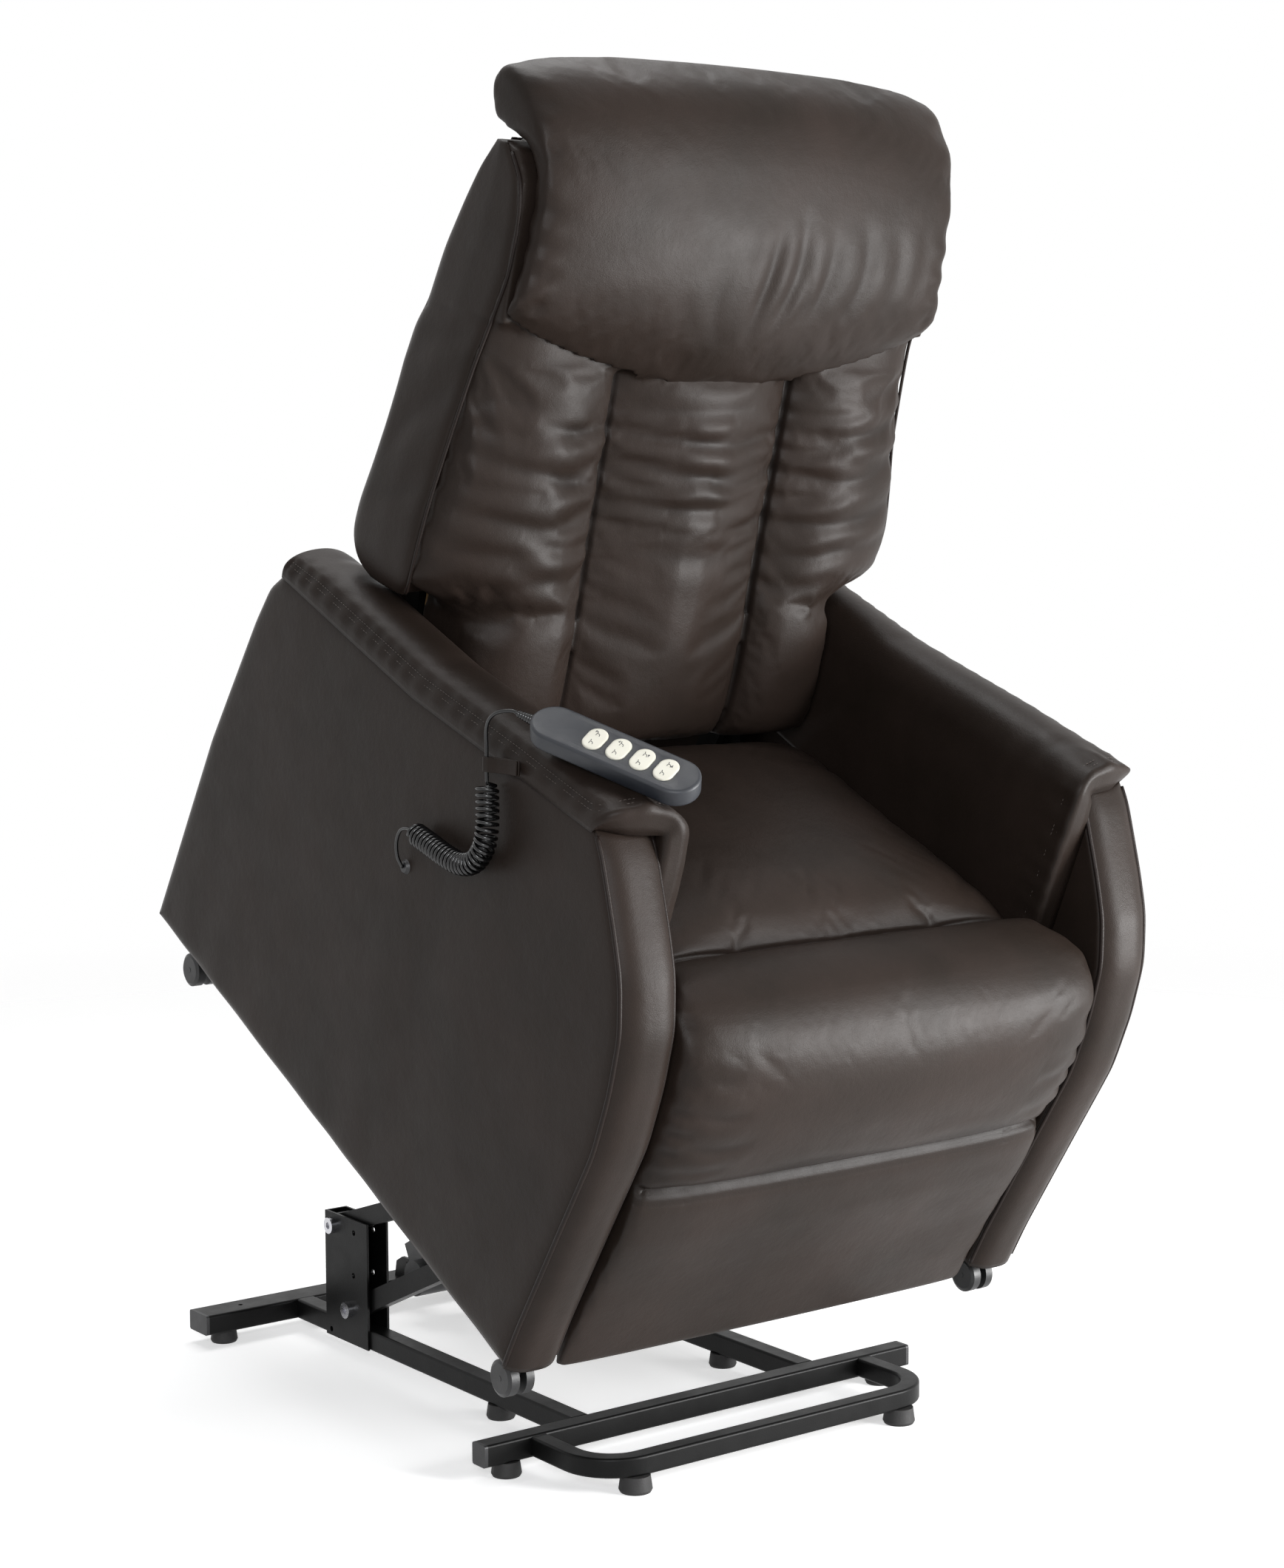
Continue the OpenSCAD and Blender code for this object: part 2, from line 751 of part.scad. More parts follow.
// Front line of an arm box, from the floor upwards
arm_front = [[2, skirt_z], [0, 102], [-5, 156], [-14, 250], [-24, 351], [-19, 419],
             [-7, 481], [17, 530], [46, 566], [99, 625], [117, 638]];
arm_back = [[769, 541], [782, 491], [813, 314], [837, skirt_z]];

stem_r = 4;
stem_l = 34;
stem_front_y = 34;
stem_rear_y = 778;
castor_x = body_w / 2 - box_w / 2 + 1;
block_h = 46;

module arm_box() color(hide) lifted()
    difference() {
        across(box_in, body_w / 2)
            polygon(concat(arm_front, arm_top, arm_back));
        across(box_in + box_wall, body_w / 2 - box_wall)
            polygon([[30, skirt_z + block_h], [12, 340], [22, 440], [50, 510],
                     [130, 600], [450, 560], [720, 545], [750, 480], [795, skirt_z + block_h]]);
        for (y = [stem_front_y, stem_rear_y])
            translate([castor_x, y, skirt_z - 1])
                cylinder(h = stem_l + 2, r = stem_r + play);
    }

module arm_box_right() arm_box();
module arm_box_left() mirror([1, 0, 0]) arm_box();

facing_steps = [-1, -0.75, 0, 0.75, 1];

function facing_point(p, s, front) =
    let (x = mix(box_in, body_w / 2, (s + 1) / 2),
         bulge = facing_t * (0.18 + 0.82 * (1 - pow(abs(s), 3))))
    [x, p[0] - soft_gap * 1.5 - (front ? bulge : 0), p[1]];

facing_line = reversed(arm_front);

module facing() quilt(
    [for (p = facing_line) [for (s = facing_steps) facing_point(p, s, true)]],
    [for (p = facing_line) [for (s = facing_steps) facing_point(p, s, false)]]);

module arm_facings() color(hide) lifted()
    on_both_sides()
        facing();

pad_rows = [0, 0.03, 0.1, 0.2, 0.35, 0.5, 0.65, 0.8, 0.92, 1];
pad_rear = 744;
pad_bottom = frame_top + 62;
pad_in = seat_w / 2;
welt_x = body_w / 2 + 5;
// Columns of the pad: across at the outer seam, over the crest, down the inside
pad_front = [117, 112, 106, 100, 97, 95, 92, 86, 80, 68];

// The crown swells over the front tenth and sinks again at the rear end
pad_swell = [[0, 0.86], [0.25, 1], [0.9, 1], [1, 0.8]];
function pad_outer(y, t) =
    let (z = seam_z(y), c = pad_crown * along(pad_swell, t))
    [[body_w / 2 + 2, z - 4], [welt_x, z + 8], [welt_x - 4, z + 0.55 * c],
     [welt_x - 18, z + 0.84 * c], [mix(pad_in, welt_x, 0.62), z + 0.98 * c],
     [mix(pad_in, welt_x, 0.42), z + c], [mix(pad_in, welt_x, 0.2), z + 0.78 * c],
     [pad_in + 4, z + 0.3 * c], [pad_in, z - 40], [pad_in, pad_bottom]];
function pad_inner(y) =
    let (z = seam_z(y) + soft_gap, out = body_w / 2 + soft_gap, in = box_in - soft_gap)
    [[out, z], [mix(in, out, 0.9), z], [mix(in, out, 0.75), z], [mix(in, out, 0.6), z],
     [mix(in, out, 0.45), z], [mix(in, out, 0.3), z], [in, z], [in, z - 8],
     [in, z - 40], [in, pad_bottom]];
function pad_grid(outer) = [
    for (t = pad_rows) [
        for (j = [0:len(pad_front) - 1])
            let (y = mix(pad_front[j], pad_rear, t),
                 p = outer ? pad_outer(max(y, 117), t)[j] : pad_inner(max(y, 117))[j])
            [p[0], y, p[1] + (117 - min(y, 117)) * (j > 7 ? 0 : 0.1)]]];

module arm_pad() color(hide) lifted()
    quilt(pad_grid(true), pad_grid(false));

module arm_pad_right() arm_pad();
module arm_pad_left() mirror([1, 0, 0]) arm_pad();

panel_top = frame_top + 40;
module rear_panel() color(hide) lifted()
    across(-box_in + soft_gap, box_in - soft_gap)
        polygon([[837, skirt_z + 2], [796.5, panel_top], [784, panel_top],
                 [825, skirt_z + 2]]);

// ---- Castors, in the chair frame --------------------------------------------

fork_t = 8;
axle_r = 3;
plate_gap = 0.3;

module castor_fork(x, y) color(black_plastic) lifted()
    translate([x, y, 0]) {
        translate([0, 0, skirt_z - plate_gap])
            cylinder(h = stem_l, r = stem_r);
        translate([0, 0, skirt_z - plate_gap - 4])
            cylinder(h = 4, r = 12);
        across(-fork_t / 2, fork_t / 2)
            polygon([[-castor_trail - 7, castor_d / 2 - 6],
                     [-castor_trail + 7, castor_d / 2 - 6],
                     [8, skirt_z - 4], [-10, skirt_z - 4], [-castor_trail - 7, castor_d / 2 + 8]]);
        at(-castor_trail, castor_d / 2)
            bar_x(-fork_t / 2 - castor_w, fork_t / 2 + castor_w, axle_r);
    }

module castor_wheels(x, y) color(black_plastic) lifted()
    translate([x, y - castor_trail, castor_d / 2])
    on_both_sides()
        translate([fork_t / 2 + 0.3, 0, 0])
        rotate([0, 90, 0])
        difference() {
            union() {
                cylinder(h = castor_w - 3, r = castor_d / 2);
                translate([0, 0, castor_w - 3])
                    cylinder(h = 2.4, r1 = castor_d / 2, r2 = castor_d / 2 - 4);
            }
            translate([0, 0, -1])
                cylinder(h = castor_w + 2, r = axle_r + play);
        }

module castor_fork_front_left() castor_fork(-castor_x, stem_front_y);
module castor_fork_front_right() castor_fork(castor_x, stem_front_y);
module castor_fork_rear_left() castor_fork(-castor_x, stem_rear_y);
module castor_fork_rear_right() castor_fork(castor_x, stem_rear_y);
module castor_wheels_front_left() castor_wheels(-castor_x, stem_front_y);
module castor_wheels_front_right() castor_wheels(castor_x, stem_front_y);
module castor_wheels_rear_left() castor_wheels(-castor_x, stem_rear_y);
module castor_wheels_rear_right() castor_wheels(castor_x, stem_rear_y);

// ---- Control box with its mains inlet ---------------------------------------

module control_box() color(black_plastic) lifted()
    difference() {
        translate([110, cross_y[3] - 20, frame_z - 45])
            cube([120, frame_tube + 40, 45]);
        translate([150, cross_y[3] + frame_tube + 20 - 12, frame_z - 34])
            cube([26, 13, 20]);
    }

// ---- Backrest, in its own frame: hinge at the origin, upright along Z --------

module leaned()
    lifted()
    at(hinge_y, hinge_z)
    rotate([-back_slope, 0, 0])
        children();

lever_y = 34;
lever_z = -121;
lever_bar_r = 7;
board_back = -62;
board_t = 8;
board_top = back_h - 110;
member_top = back_h - 200;

module back_side_members() color(black_paint) leaned()
    difference() {
        on_both_sides()
            across(member_x, member_x + member_t)
                polygon([[-60, 40], [-60, member_top], [-34, member_top], [-34, 60],
                         [18, 10], [18, -12], [lever_y + 15, lever_z + 6],
                         [lever_y + 12, lever_z - 10], [lever_y, lever_z - 15],
                         [lever_y - 14, lever_z - 6], [-16, -12], [-18, 8]]);
        bar_x(-box_in, box_in, hinge_pin_r + play);
    }

module back_cross_bars() color(black_paint) leaned() {
    at(lever_y, lever_z)
        bar_x(-member_x, member_x, lever_bar_r);
    for (z = [100, member_top - 40])
        at(-47, z)
            box_tube(2 * member_x, 25, 25);
}

module back_board() color(wood_tone) leaned()
    across(-member_x, member_x)
        translate([board_back - board_t, 20])
            square([board_t, board_top - 20]);

seam_depth = -158;
cushion_back = board_back - board_t - soft_gap;
pillow_plane = -190;
back_rows = [690, 674, 655, 600, 505, 472, 452, 430, 390, 320, 240, 160, 90, 50, 28, 18];
channel_low = 18;
channel_high = 458;
cushion_half = 258;

// Half of an outer channel, from its seam to the wing: [share, share of the crown]
outer_steps = [[0, 0], [0.09, 0.5], [0.3, 0.95], [0.55, 1], [0.8, 0.7], [1, 0.14]];
// Columns of the back cushion: [x, share of the channel's crown]
back_columns = concat(
    [for (p = reversed(outer_steps)) [mix(-channel_x, -cushion_half, p[0]), p[1]]],
    [for (s = [-0.82, -0.42, 0, 0.42, 0.82]) [channel_x * s, channel(s)]],
    [for (p = outer_steps) [mix(channel_x, cushion_half, p[0]), p[1]]]);

upper_line = [[458, -172], [480, -183], [505, pillow_plane], [655, pillow_plane],
              [686, -166], [691, -140]];

function back_front(v, arch) =
    v > channel_high
    ? along(upper_line, v)
    : let (t = 2 * (v - channel_low) / (channel_high - channel_low) - 1)
      mix(-128, seam_depth, crown(t)) - channel_crown * arch * crown(t);
function back_rear(v) = along([[600, cushion_back], [640, -88], [691, -116]], v);

module back_cushion() color(hide) leaned()
    quilt([for (v = back_rows) [for (c = back_columns)
              [c[0], back_front(v, c[1]), v]]],
          [for (v = back_rows) [for (c = back_columns)
              [c[0], back_rear(v), v]]]);

// Rows of a wing: [height, piping, rear edge, half width]
wing_rows = [
    [688, -150, -124, 0], [656, -184, -97, 2], [616, -189.6, -75, 2], [560, -186, -50, 2],
    [504, -166, -34, 2], [454, -158, -20, 10], [380, -150, -18, 20], [314, -148, -15, 32],
    [270, -147, -8, 38], [232, -141, -2, 38], [204, -128, -14, 32]];
wing_in = cushion_half + soft_gap;

function wing_outer(r) =
    let (w = back_half + r[3] * wing_flare / 38, lead = max(pillow_plane + 0.4, r[1] - 12))
    [[wing_in, lead], [mix(wing_in, w, 0.5), mix(lead, r[1], 0.5) - (r[0] < 480 ? 3 : 0)],
     [w - 5, r[1]], [w, mix(r[1], r[2], 0.12)], [w + 1, mix(r[1], r[2], 0.5)],
     [w - 2, mix(r[1], r[2], 0.92)], [w - 10, r[2]]];
function wing_inner(r) =
    let (lead = max(pillow_plane + 0.4, r[1] - 12))
    [for (j = [0:6]) [wing_in, mix(lead + 2, r[2] - 1, j / 6)]];

module back_wing() quilt(
    [for (r = wing_rows) [for (p = wing_outer(r)) [p[0], p[1], r[0]]]],
    [for (r = wing_rows) [for (p = wing_inner(r)) [p[0], p[1], r[0]]]]);

module back_wings() color(hide) leaned()
    on_both_sides()
        back_wing();

cover_rows = [688, 650, 610, 560, 500, 400, 280, 160, 90, 64];
cover_steps = [1, 0.94, 0.7, 0.35, 0, -0.35, -0.7, -0.94, -1];
cover_line_in = [[64, -33], [500, -33], [560, -47], [600, -60], [640, -80], [690, -108]];
cover_line_out = [[64, -12], [90, 6], [193, 10], [314, 4], [454, -4], [504, -18], [587, -44],
                  [650, -76], [690, -103]];

module back_cover() color(hide) leaned()
    quilt([for (v = cover_rows) [for (s = cover_steps)
              [s * (cushion_half - 1), along(cover_line_out, v) + 5 * crown(s) - 8, v]]],
          [for (v = cover_rows) [for (s = cover_steps)
              [s * (cushion_half - 1), along(cover_line_in, v), v]]]);

pillow_half = 294;
// How much narrower than pillow_half each row of the pillow is
pillow_taper = [0, 0, 4, 11, 15, 15, 11, 8, 6, 6, 6];
pillow_steps = [1, 0.97, 0.88, 0.7, 0.4, 0, -0.4, -0.7, -0.88, -0.97, -1];
pillow_front = [[-183, 444], [-205, 462], [-226, 505], [-235, 570], [-233, 640],
                [-222, 700], [-198, 745], [-160, 778], [-117, 788], [-100, 765], [-97, 735]];
pillow_front_end = [[-189, 503], [-195, 508], [-201, 530], [-203, 580], [-203, 630],
                    [-198, 676], [-180, 711], [-150, 740], [-122, 755], [-103, 750],
                    [-99, 738]];
pillow_back = [[-186, 452], [-189, 470], [-190.6, 507], [-190.6, 570], [-190.6, 640],
               [-191.5, 661], [-169, 688], [-129, 702], [-112, 708], [-104, 715],
               [-101, 724]];
pillow_back_end = [[-190.6, 506], [-190.6, 512], [-190.6, 530], [-190.6, 570],
                   [-190.6, 640], [-191.5, 661], [-169, 688], [-129, 702], [-112, 708],
                   [-104, 715], [-102, 722]];

function pillow_point(i, s, front) =
    let (a = front ? pillow_front[i] : pillow_back[i],
         b = front ? pillow_front_end[i] : pillow_back_end[i],
         share = i < 3 ? max(0, 1 - 1.2 * s * s) : crown(s) * (1 - 0.35 * s * s),
         p = mix(b, a, share))
    [s * (pillow_half - pillow_taper[i] - (front ? 0 : 3)), p[0], p[1]];

module head_pillow() color(hide) leaned()
    quilt([for (i = [0:len(pillow_front) - 1]) [for (s = pillow_steps) pillow_point(i, s, true)]],
          [for (i = [0:len(pillow_front) - 1]) [for (s = pillow_steps) pillow_point(i, s, false)]]);

// Recline actuator between the seat frame and the back's lever bar
function lean(p) = [
    hinge_y + p[0] * cos(back_slope) + p[1] * sin(back_slope),
    hinge_z - p[0] * sin(back_slope) + p[1] * cos(back_slope)];
back_pin = lean([lever_y, lever_z]);
back_run = back_pin - [back_motor_y, back_motor_z];
back_reach = norm(back_run);
back_run_slope = atan2(back_run[1], -back_run[0]);
back_guide = 245;

module aimed(x, y, z, slope)
    lifted()
    translate([x, y, z])
    rotate([-slope, 0, 0])
        children();

module recline_motor() color(black_plastic)
    aimed(back_motor_x, back_motor_y, back_motor_z, back_run_slope)
        actuator(back_guide, can_r);

module recline_rod() color(bright_steel)
    aimed(back_motor_x, back_motor_y, back_motor_z, back_run_slope)
        actuator_rod(198, back_reach, lever_bar_r + open_play, lever_bar_r + open_play + 4.5);

// ---- Legrest, in the chair frame --------------------------------------------

leg_hinge = [leg_hinge_y, leg_hinge_z];
leg_pin = [45, 300];
leg_way = unit(leg_pin - leg_hinge);
leg_span = norm(leg_pin - leg_hinge);
leg_share = (leg_link_a * leg_link_a - leg_link_b * leg_link_b + leg_span * leg_span)
            / (2 * leg_span);
// Elbow of the two links, folded under the seat
leg_elbow = leg_hinge + leg_share * leg_way
            + sqrt(leg_link_a * leg_link_a - leg_share * leg_share) * [-leg_way[1], leg_way[0]];
crank_pin = [leg_hinge_y + 18, leg_hinge_z - 38];
link_t = 8;
link_x = 236;
link_gap = 0.5;
link_pin_r = 5;
link_half = 11;

// Flat link between two points, with round ends
module link_shape(a, b, half) {
    run = b - a;
    translate(a)
    rotate(atan2(run[1], run[0]))
    translate([0, -half])
        square([norm(run), 2 * half]);
    for (p = [a, b])
        translate(p)
            circle(r = half);
}

module legrest_links_rear() color(black_paint) lifted() {
    on_both_sides() {
        across(link_x, link_x + link_t)
            link_shape(leg_hinge, leg_elbow, link_half);
        at(leg_elbow[0], leg_elbow[1])
            bar_x(link_x, link_x + 2 * link_t + link_gap + 2, link_pin_r);
    }
    at(leg_hinge[0], leg_hinge[1])
        bar_x(-link_x - link_t, link_x + link_t, torque_r);
    translate([leg_motor_x, 0, 0]) {
        on_both_sides()
            across(motor_eye_w / 2 + 1, motor_eye_w / 2 + 6)
                link_shape(leg_hinge, crank_pin, link_half);
        at(crank_pin[0], crank_pin[1])
            bar_x(-motor_eye_w / 2 - 7, motor_eye_w / 2 + 7, motor_pin_r);
    }
}

module legrest_links_front() color(black_paint) lifted()
    difference() {
        on_both_sides()
            across(link_x + link_t + link_gap, link_x + 2 * link_t + link_gap)
                link_shape(leg_elbow, leg_pin, link_half);
        at(leg_elbow[0], leg_elbow[1])
            bar_x(-box_in, box_in, link_pin_r + play);
        at(leg_pin[0], leg_pin[1])
            bar_x(-box_in, box_in, link_pin_r + play);
    }

leg_board_y = 22;
leg_board_low = 60;
leg_board_high = 440;

module legrest_board() color(wood_tone) lifted() {
    across(-250, 250)
        translate([leg_board_y, leg_board_low])
            square([leg_board_t, leg_board_high - leg_board_low]);
    on_both_sides() {
        across(link_x, link_x + link_t)
            polygon([[leg_board_y + leg_board_t, leg_pin[1] - 40],
                     [leg_pin[0] + 8, leg_pin[1] - 14], [leg_pin[0] + 12, leg_pin[1]],
                     [leg_pin[0] + 8, leg_pin[1] + 14],
                     [leg_board_y + leg_board_t, leg_pin[1] + 40]]);
        at(leg_pin[0], leg_pin[1])
            bar_x(link_x, link_x + 2 * link_t + link_gap + 2, link_pin_r);
    }
}

leg_steps = [-1, -0.97, -0.86, -0.5, 0, 0.5, 0.86, 0.97, 1];

function leg_point(r, s, front) =
    let (x = s * (leg_w / 2 + r[4]),
         roll = 1 - crown(s),
         shallow = r[1] < 290 ? 0.25 : 0.5)
    front
    ? [x, mix(r[0], r[2], shallow * roll) - (r[1] < 480 ? leg_swell * (1 - s * s) : 0),
       mix(r[1], r[3], shallow * roll * 0.5)]
    : [x, r[2] + leg_board_y - 22, r[3]];

module legrest_pad() color(hide) lifted()
    quilt([for (r = leg_rows) [for (s = leg_steps) leg_point(r, s, true)]],
          [for (r = leg_rows) [for (s = leg_steps) leg_point(r, s, false)]]);

leg_run = crank_pin - [leg_motor_y, leg_motor_z];
leg_reach = norm(leg_run);
leg_run_slope = atan2(leg_run[1], -leg_run[0]);
leg_guide = 278;

module legrest_motor() color(black_plastic)
    aimed(leg_motor_x, leg_motor_y, leg_motor_z, leg_run_slope)
        actuator(leg_guide, -can_r);

module legrest_rod() color(bright_steel)
    aimed(leg_motor_x, leg_motor_y, leg_motor_z, leg_run_slope)
        actuator_rod(140, leg_reach, motor_pin_r + open_play + 1.2, motor_pin_r + open_play + 5.5);

// ---- Handset and its cord, in the chair frame -------------------------------

pad_top_z = seam_z(hand_at[1]) + pad_crown;
button_r = 10.5;
button_half = 5;
button_step = 27;
first_button = 36;
button_proud = 1.6;
button_depth = 5;
button_gap = 0.15;

module held()
    lifted()
    translate([hand_at[0], hand_at[1], pad_top_z + hand_rise])
    rotate([hand_lean, 0, 0])
    rotate([0, -hand_roll, 0])
    rotate([0, 0, hand_yaw])
        children();

// Round-ended slab of the handset's outline, centred at a height
module slab(h, inset)
    linear_extrude(height = h) {
        square([hand_w - 2 * inset, hand_l - hand_w], center = true);
        for (s = [-1, 1])
            translate([0, s * (hand_l - hand_w) / 2])
                circle(r = hand_w / 2 - inset);
    }

// Oval of a push button, longer across the handset
module oval(h, r)
    linear_extrude(height = h) {
        square([2 * button_half, 2 * r], center = true);
        for (s = [-1, 1])
            translate([s * button_half, 0])
                circle(r = r);
    }

function button_y(i) = -hand_l / 2 + first_button + i * button_step;
relief_l = 20;

module handset() color(hand_tone) held()
    difference() {
        union() {
            translate([0, 0, -hand_t / 2 + 2])
                slab(hand_t - 4, 0);
            translate([0, 0, -hand_t / 2])
                slab(hand_t, 2);
            translate([0, hand_l / 2 - 3, 0])
            rotate([-90, 0, 0])
                cylinder(h = relief_l + 3, r1 = 6, r2 = cord_d / 2 + 0.8);
        }
        for (i = [0:3])
            translate([0, button_y(i), hand_t / 2 - button_depth - button_travel])
                oval(button_depth + button_travel + 1, button_r + button_gap);
    }

module button(i) color("white") held()
    translate([0, button_y(i), hand_t / 2 - button_depth])
        oval(button_depth + button_proud, button_r);

module button_seat_down() button(0);
module button_seat_up() button(1);
module button_back_down() button(2);
module button_back_up() button(3);

// Where the cord leaves the handset's strain relief
exit_l = hand_l / 2 + relief_l;
exit_dip = -sin(hand_yaw) * sin(hand_roll);
exit_way = [-sin(hand_yaw) * cos(hand_roll),
            cos(hand_yaw) * cos(hand_lean) - exit_dip * sin(hand_lean),
            cos(hand_yaw) * sin(hand_lean) + exit_dip * cos(hand_lean)];
cord_exit = [hand_at[0], hand_at[1], pad_top_z + hand_rise] + exit_l * exit_way;

cord_run_x = -374;
cord_path = concat(
    [cord_exit, cord_exit + 6 * exit_way],
    [[-376, 287, 669], [-378, 295, 656], [cord_run_x - 2, 297, 641], [cord_run_x, 292, 626],
     [cord_run_x, 284, 610], [cord_run_x, 276, 595]]);
cord_smooth = smooth(cord_path, 4);

module cord_straight() color(black_plastic) lifted()
    sweep(cord_smooth, [for (p = cord_smooth) [1, 0, 0.1]], cord_d / 2, 8);

// Middle line of the curly stretch
curl_path = smooth([
    [cord_run_x, 276, 595], [cord_run_x - 2, 263, 577], [cord_run_x - 4, 250, 557],
    [cord_run_x - 5, 245, 535], [cord_run_x - 5, 253, 513], [cord_run_x - 4, 274, 497],
    [cord_run_x - 3, 303, 488], [cord_run_x - 1, 335, 481], [cord_run_x, 368, 474]], 6);
curl_run = lengths(curl_path);
curl_total = curl_run[len(curl_run) - 1];
curl_r = (curl_d - cord_d) / 2;
curl_rings = curls * 8;

function ramp(t) = min(1, t * curls / 0.7, (1 - t) * curls / 0.7);
function curl_frame(t) =
    let (s = t * curl_total, a = point_at(curl_path, curl_run, max(0, s - 6)),
         b = point_at(curl_path, curl_run, min(curl_total, s + 6)), way = unit(b - a),
         out = unit(cross(way, [0, way[2], -way[1]])))
    [point_at(curl_path, curl_run, s), out, cross(way, out), way];
function curl_side(t) =
    let (f = curl_frame(t))
    cos(360 * curls * t) * f[2] + sin(360 * curls * t) * f[1];
function curl_point(t) = curl_frame(t)[0] + curl_r * ramp(t) * curl_side(t);

curl_end = curl_path[len(curl_path) - 1];
curl_line = concat(
    [curl_path[0], curl_path[0] + cord_d * 0.6 * curl_frame(0)[3]],
    [for (i = [6:curl_rings - 6]) curl_point(i / curl_rings)],
    [curl_end - cord_d * 0.6 * curl_frame(1)[3], curl_end]);
curl_sides = concat(
    [curl_side(6 / curl_rings), curl_side(6 / curl_rings)],
    [for (i = [6:curl_rings - 6]) curl_side(i / curl_rings)],
    [curl_side(1 - 6 / curl_rings), curl_side(1 - 6 / curl_rings)]);

// Least gap between one turn and the next, measured on the rings
curl_gap = min([for (i = [16:curl_rings - 24]) for (k = [6:10])
    norm(curl_point(i / curl_rings) - curl_point((i + k) / curl_rings))]) - cord_d;

module cord_curly() color(black_plastic) lifted() {
    echo(least_gap_between_curls = curl_gap, middle_line_length = curl_total);
    sweep(curl_line, curl_sides, cord_d / 2, 6);
}

gland_at = [-body_w / 2, 384, 419];
gland_t = 5;
tail_path = smooth([
    curl_end, [cord_run_x, 380, 471], [cord_run_x, 391, 462],
    [cord_run_x + 1, 394, 446], [cord_run_x + 4, 390, 430],
    [cord_run_x + 9, 385, 420.5], gland_at - [gland_t, 0, 0]], 4);

module cord_tail() color(black_plastic) lifted()
    sweep(tail_path, [for (p = tail_path) [0.3, 1, 0]], cord_d / 2, 8);

module cord_gland() color(black_plastic) lifted()
    translate(gland_at)
    rotate([0, -90, 0])
        cylinder(h = gland_t, r1 = 9, r2 = 6);

loop_len = 46;
loop_t = 9;
loop_h = 15;
loop_reach = -welt_x - cord_run_x - soft_gap;

module cord_loop() color(hide) lifted()
    translate([cord_run_x, 284, 610])
    rotate([-25, 0, 0])
    difference() {
        linear_extrude(height = loop_h, center = true) {
            circle(r = loop_t / 2);
            polygon([[-loop_t / 2, 0], [loop_t / 2, 0], [loop_reach, 14 - loop_len],
                     [loop_reach, -loop_len], [loop_reach - 8, -loop_len]]);
        }
        cylinder(h = 2 * loop_h, r = cord_d / 2 + 0.5, center = true);
    }

rear_cross_tube();
front_cross_tube();
side_rails();
stabiliser_bar();
tube_end_caps();
base_feet();
lift_posts();
post_pivot_bolts();
actuator_clevis();
lower_arms();
lower_arm_cross_tube();
upper_arms();
lift_motor();
lift_rod();
mount_frame();
mount_pins();
seat_rails();
seat_cross_tubes();
seat_webbing();
seat_cushion();
arm_box_left();
arm_box_right();
arm_facings();
arm_pad_left();
arm_pad_right();
rear_panel();
castor_fork_front_left();
castor_fork_front_right();
castor_fork_rear_left();
castor_fork_rear_right();
castor_wheels_front_left();
castor_wheels_front_right();
castor_wheels_rear_left();
castor_wheels_rear_right();
control_box();
back_side_members();
back_cross_bars();
back_board();
back_cushion();
back_wings();
back_cover();
head_pillow();
recline_motor();
recline_rod();
legrest_links_rear();
legrest_links_front();
legrest_board();
legrest_pad();
legrest_motor();
legrest_rod();
handset();
button_back_up();
button_back_down();
button_seat_up();
button_seat_down();
cord_straight();
cord_curly();
cord_tail();
cord_loop();
cord_gland();
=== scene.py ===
"""Looks of the lift recliner chair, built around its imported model."""

import math

import bmesh
import bpy
import numpy as np
from mathutils import Matrix, Vector
from mathutils.kdtree import KDTree


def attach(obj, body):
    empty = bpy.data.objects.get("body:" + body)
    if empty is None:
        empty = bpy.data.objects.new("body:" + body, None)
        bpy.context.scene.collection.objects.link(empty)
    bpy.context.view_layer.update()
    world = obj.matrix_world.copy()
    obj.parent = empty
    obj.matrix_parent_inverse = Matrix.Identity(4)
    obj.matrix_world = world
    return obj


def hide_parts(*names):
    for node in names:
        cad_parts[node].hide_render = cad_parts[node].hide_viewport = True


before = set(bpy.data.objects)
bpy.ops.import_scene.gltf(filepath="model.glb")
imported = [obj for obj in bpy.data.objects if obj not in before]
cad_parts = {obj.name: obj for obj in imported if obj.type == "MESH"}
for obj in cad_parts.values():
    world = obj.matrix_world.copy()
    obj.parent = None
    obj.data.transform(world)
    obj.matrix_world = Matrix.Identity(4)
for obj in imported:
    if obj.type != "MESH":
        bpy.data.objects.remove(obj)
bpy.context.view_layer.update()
MM = 0.001

# ---- Frames: millimetres of the lowered chair, its backrest and its handset to the row frame

TIP = math.radians(27.4)
MOUNT = np.array([193.0, 59.0])
LOW_PIVOT = np.array([161.0, 59.0])
ARM_L, ARM_RAISED = 480.0, math.radians(25)
CARRY = LOW_PIVOT + ARM_L * np.array([-math.cos(ARM_RAISED), math.sin(ARM_RAISED)])
HINGE = np.array([650.0, 425.0])
SLOPE = math.radians(11.3)
ARM_TOP = [[117, 638], [452, 590], [745, 573]]
PAD_CROWN, HAND_L, HAND_W, HAND_T = 40.0, 188.0, 50.0, 21.0
HAND_AT, HAND_RISE = np.array([-316.0, 168.0]), 16.2
YAW, ROLL, LEAN = math.radians(28), math.radians(20), math.radians(5)
LEG_ROWS = [
    [81, 490, 80, 472, -26], [72, 503, 77, 450, -26], [52, 507, 60, 443, -26],
    [30, 507, 34, 442, -12], [-2, 500, 21, 441, 0], [-30, 484, 21.6, 430, 0],
    [-48, 458, 21.6, 415, 0], [-56, 424, 21.6, 395, 0], [-57, 384, 21.6, 372, 0],
    [-53, 340, 21.6, 335, 0], [-45, 304, 21.6, 304, 0], [-35, 286, 21.6, 286, -2],
    [-37, 264, 21.6, 264, 0], [-33, 219, 21.6, 219, 0], [-19, 149, 21.6, 149, 0],
    [-11, 92, 21.6, 92, 0], [-1, 33, 10, 33, 0]]
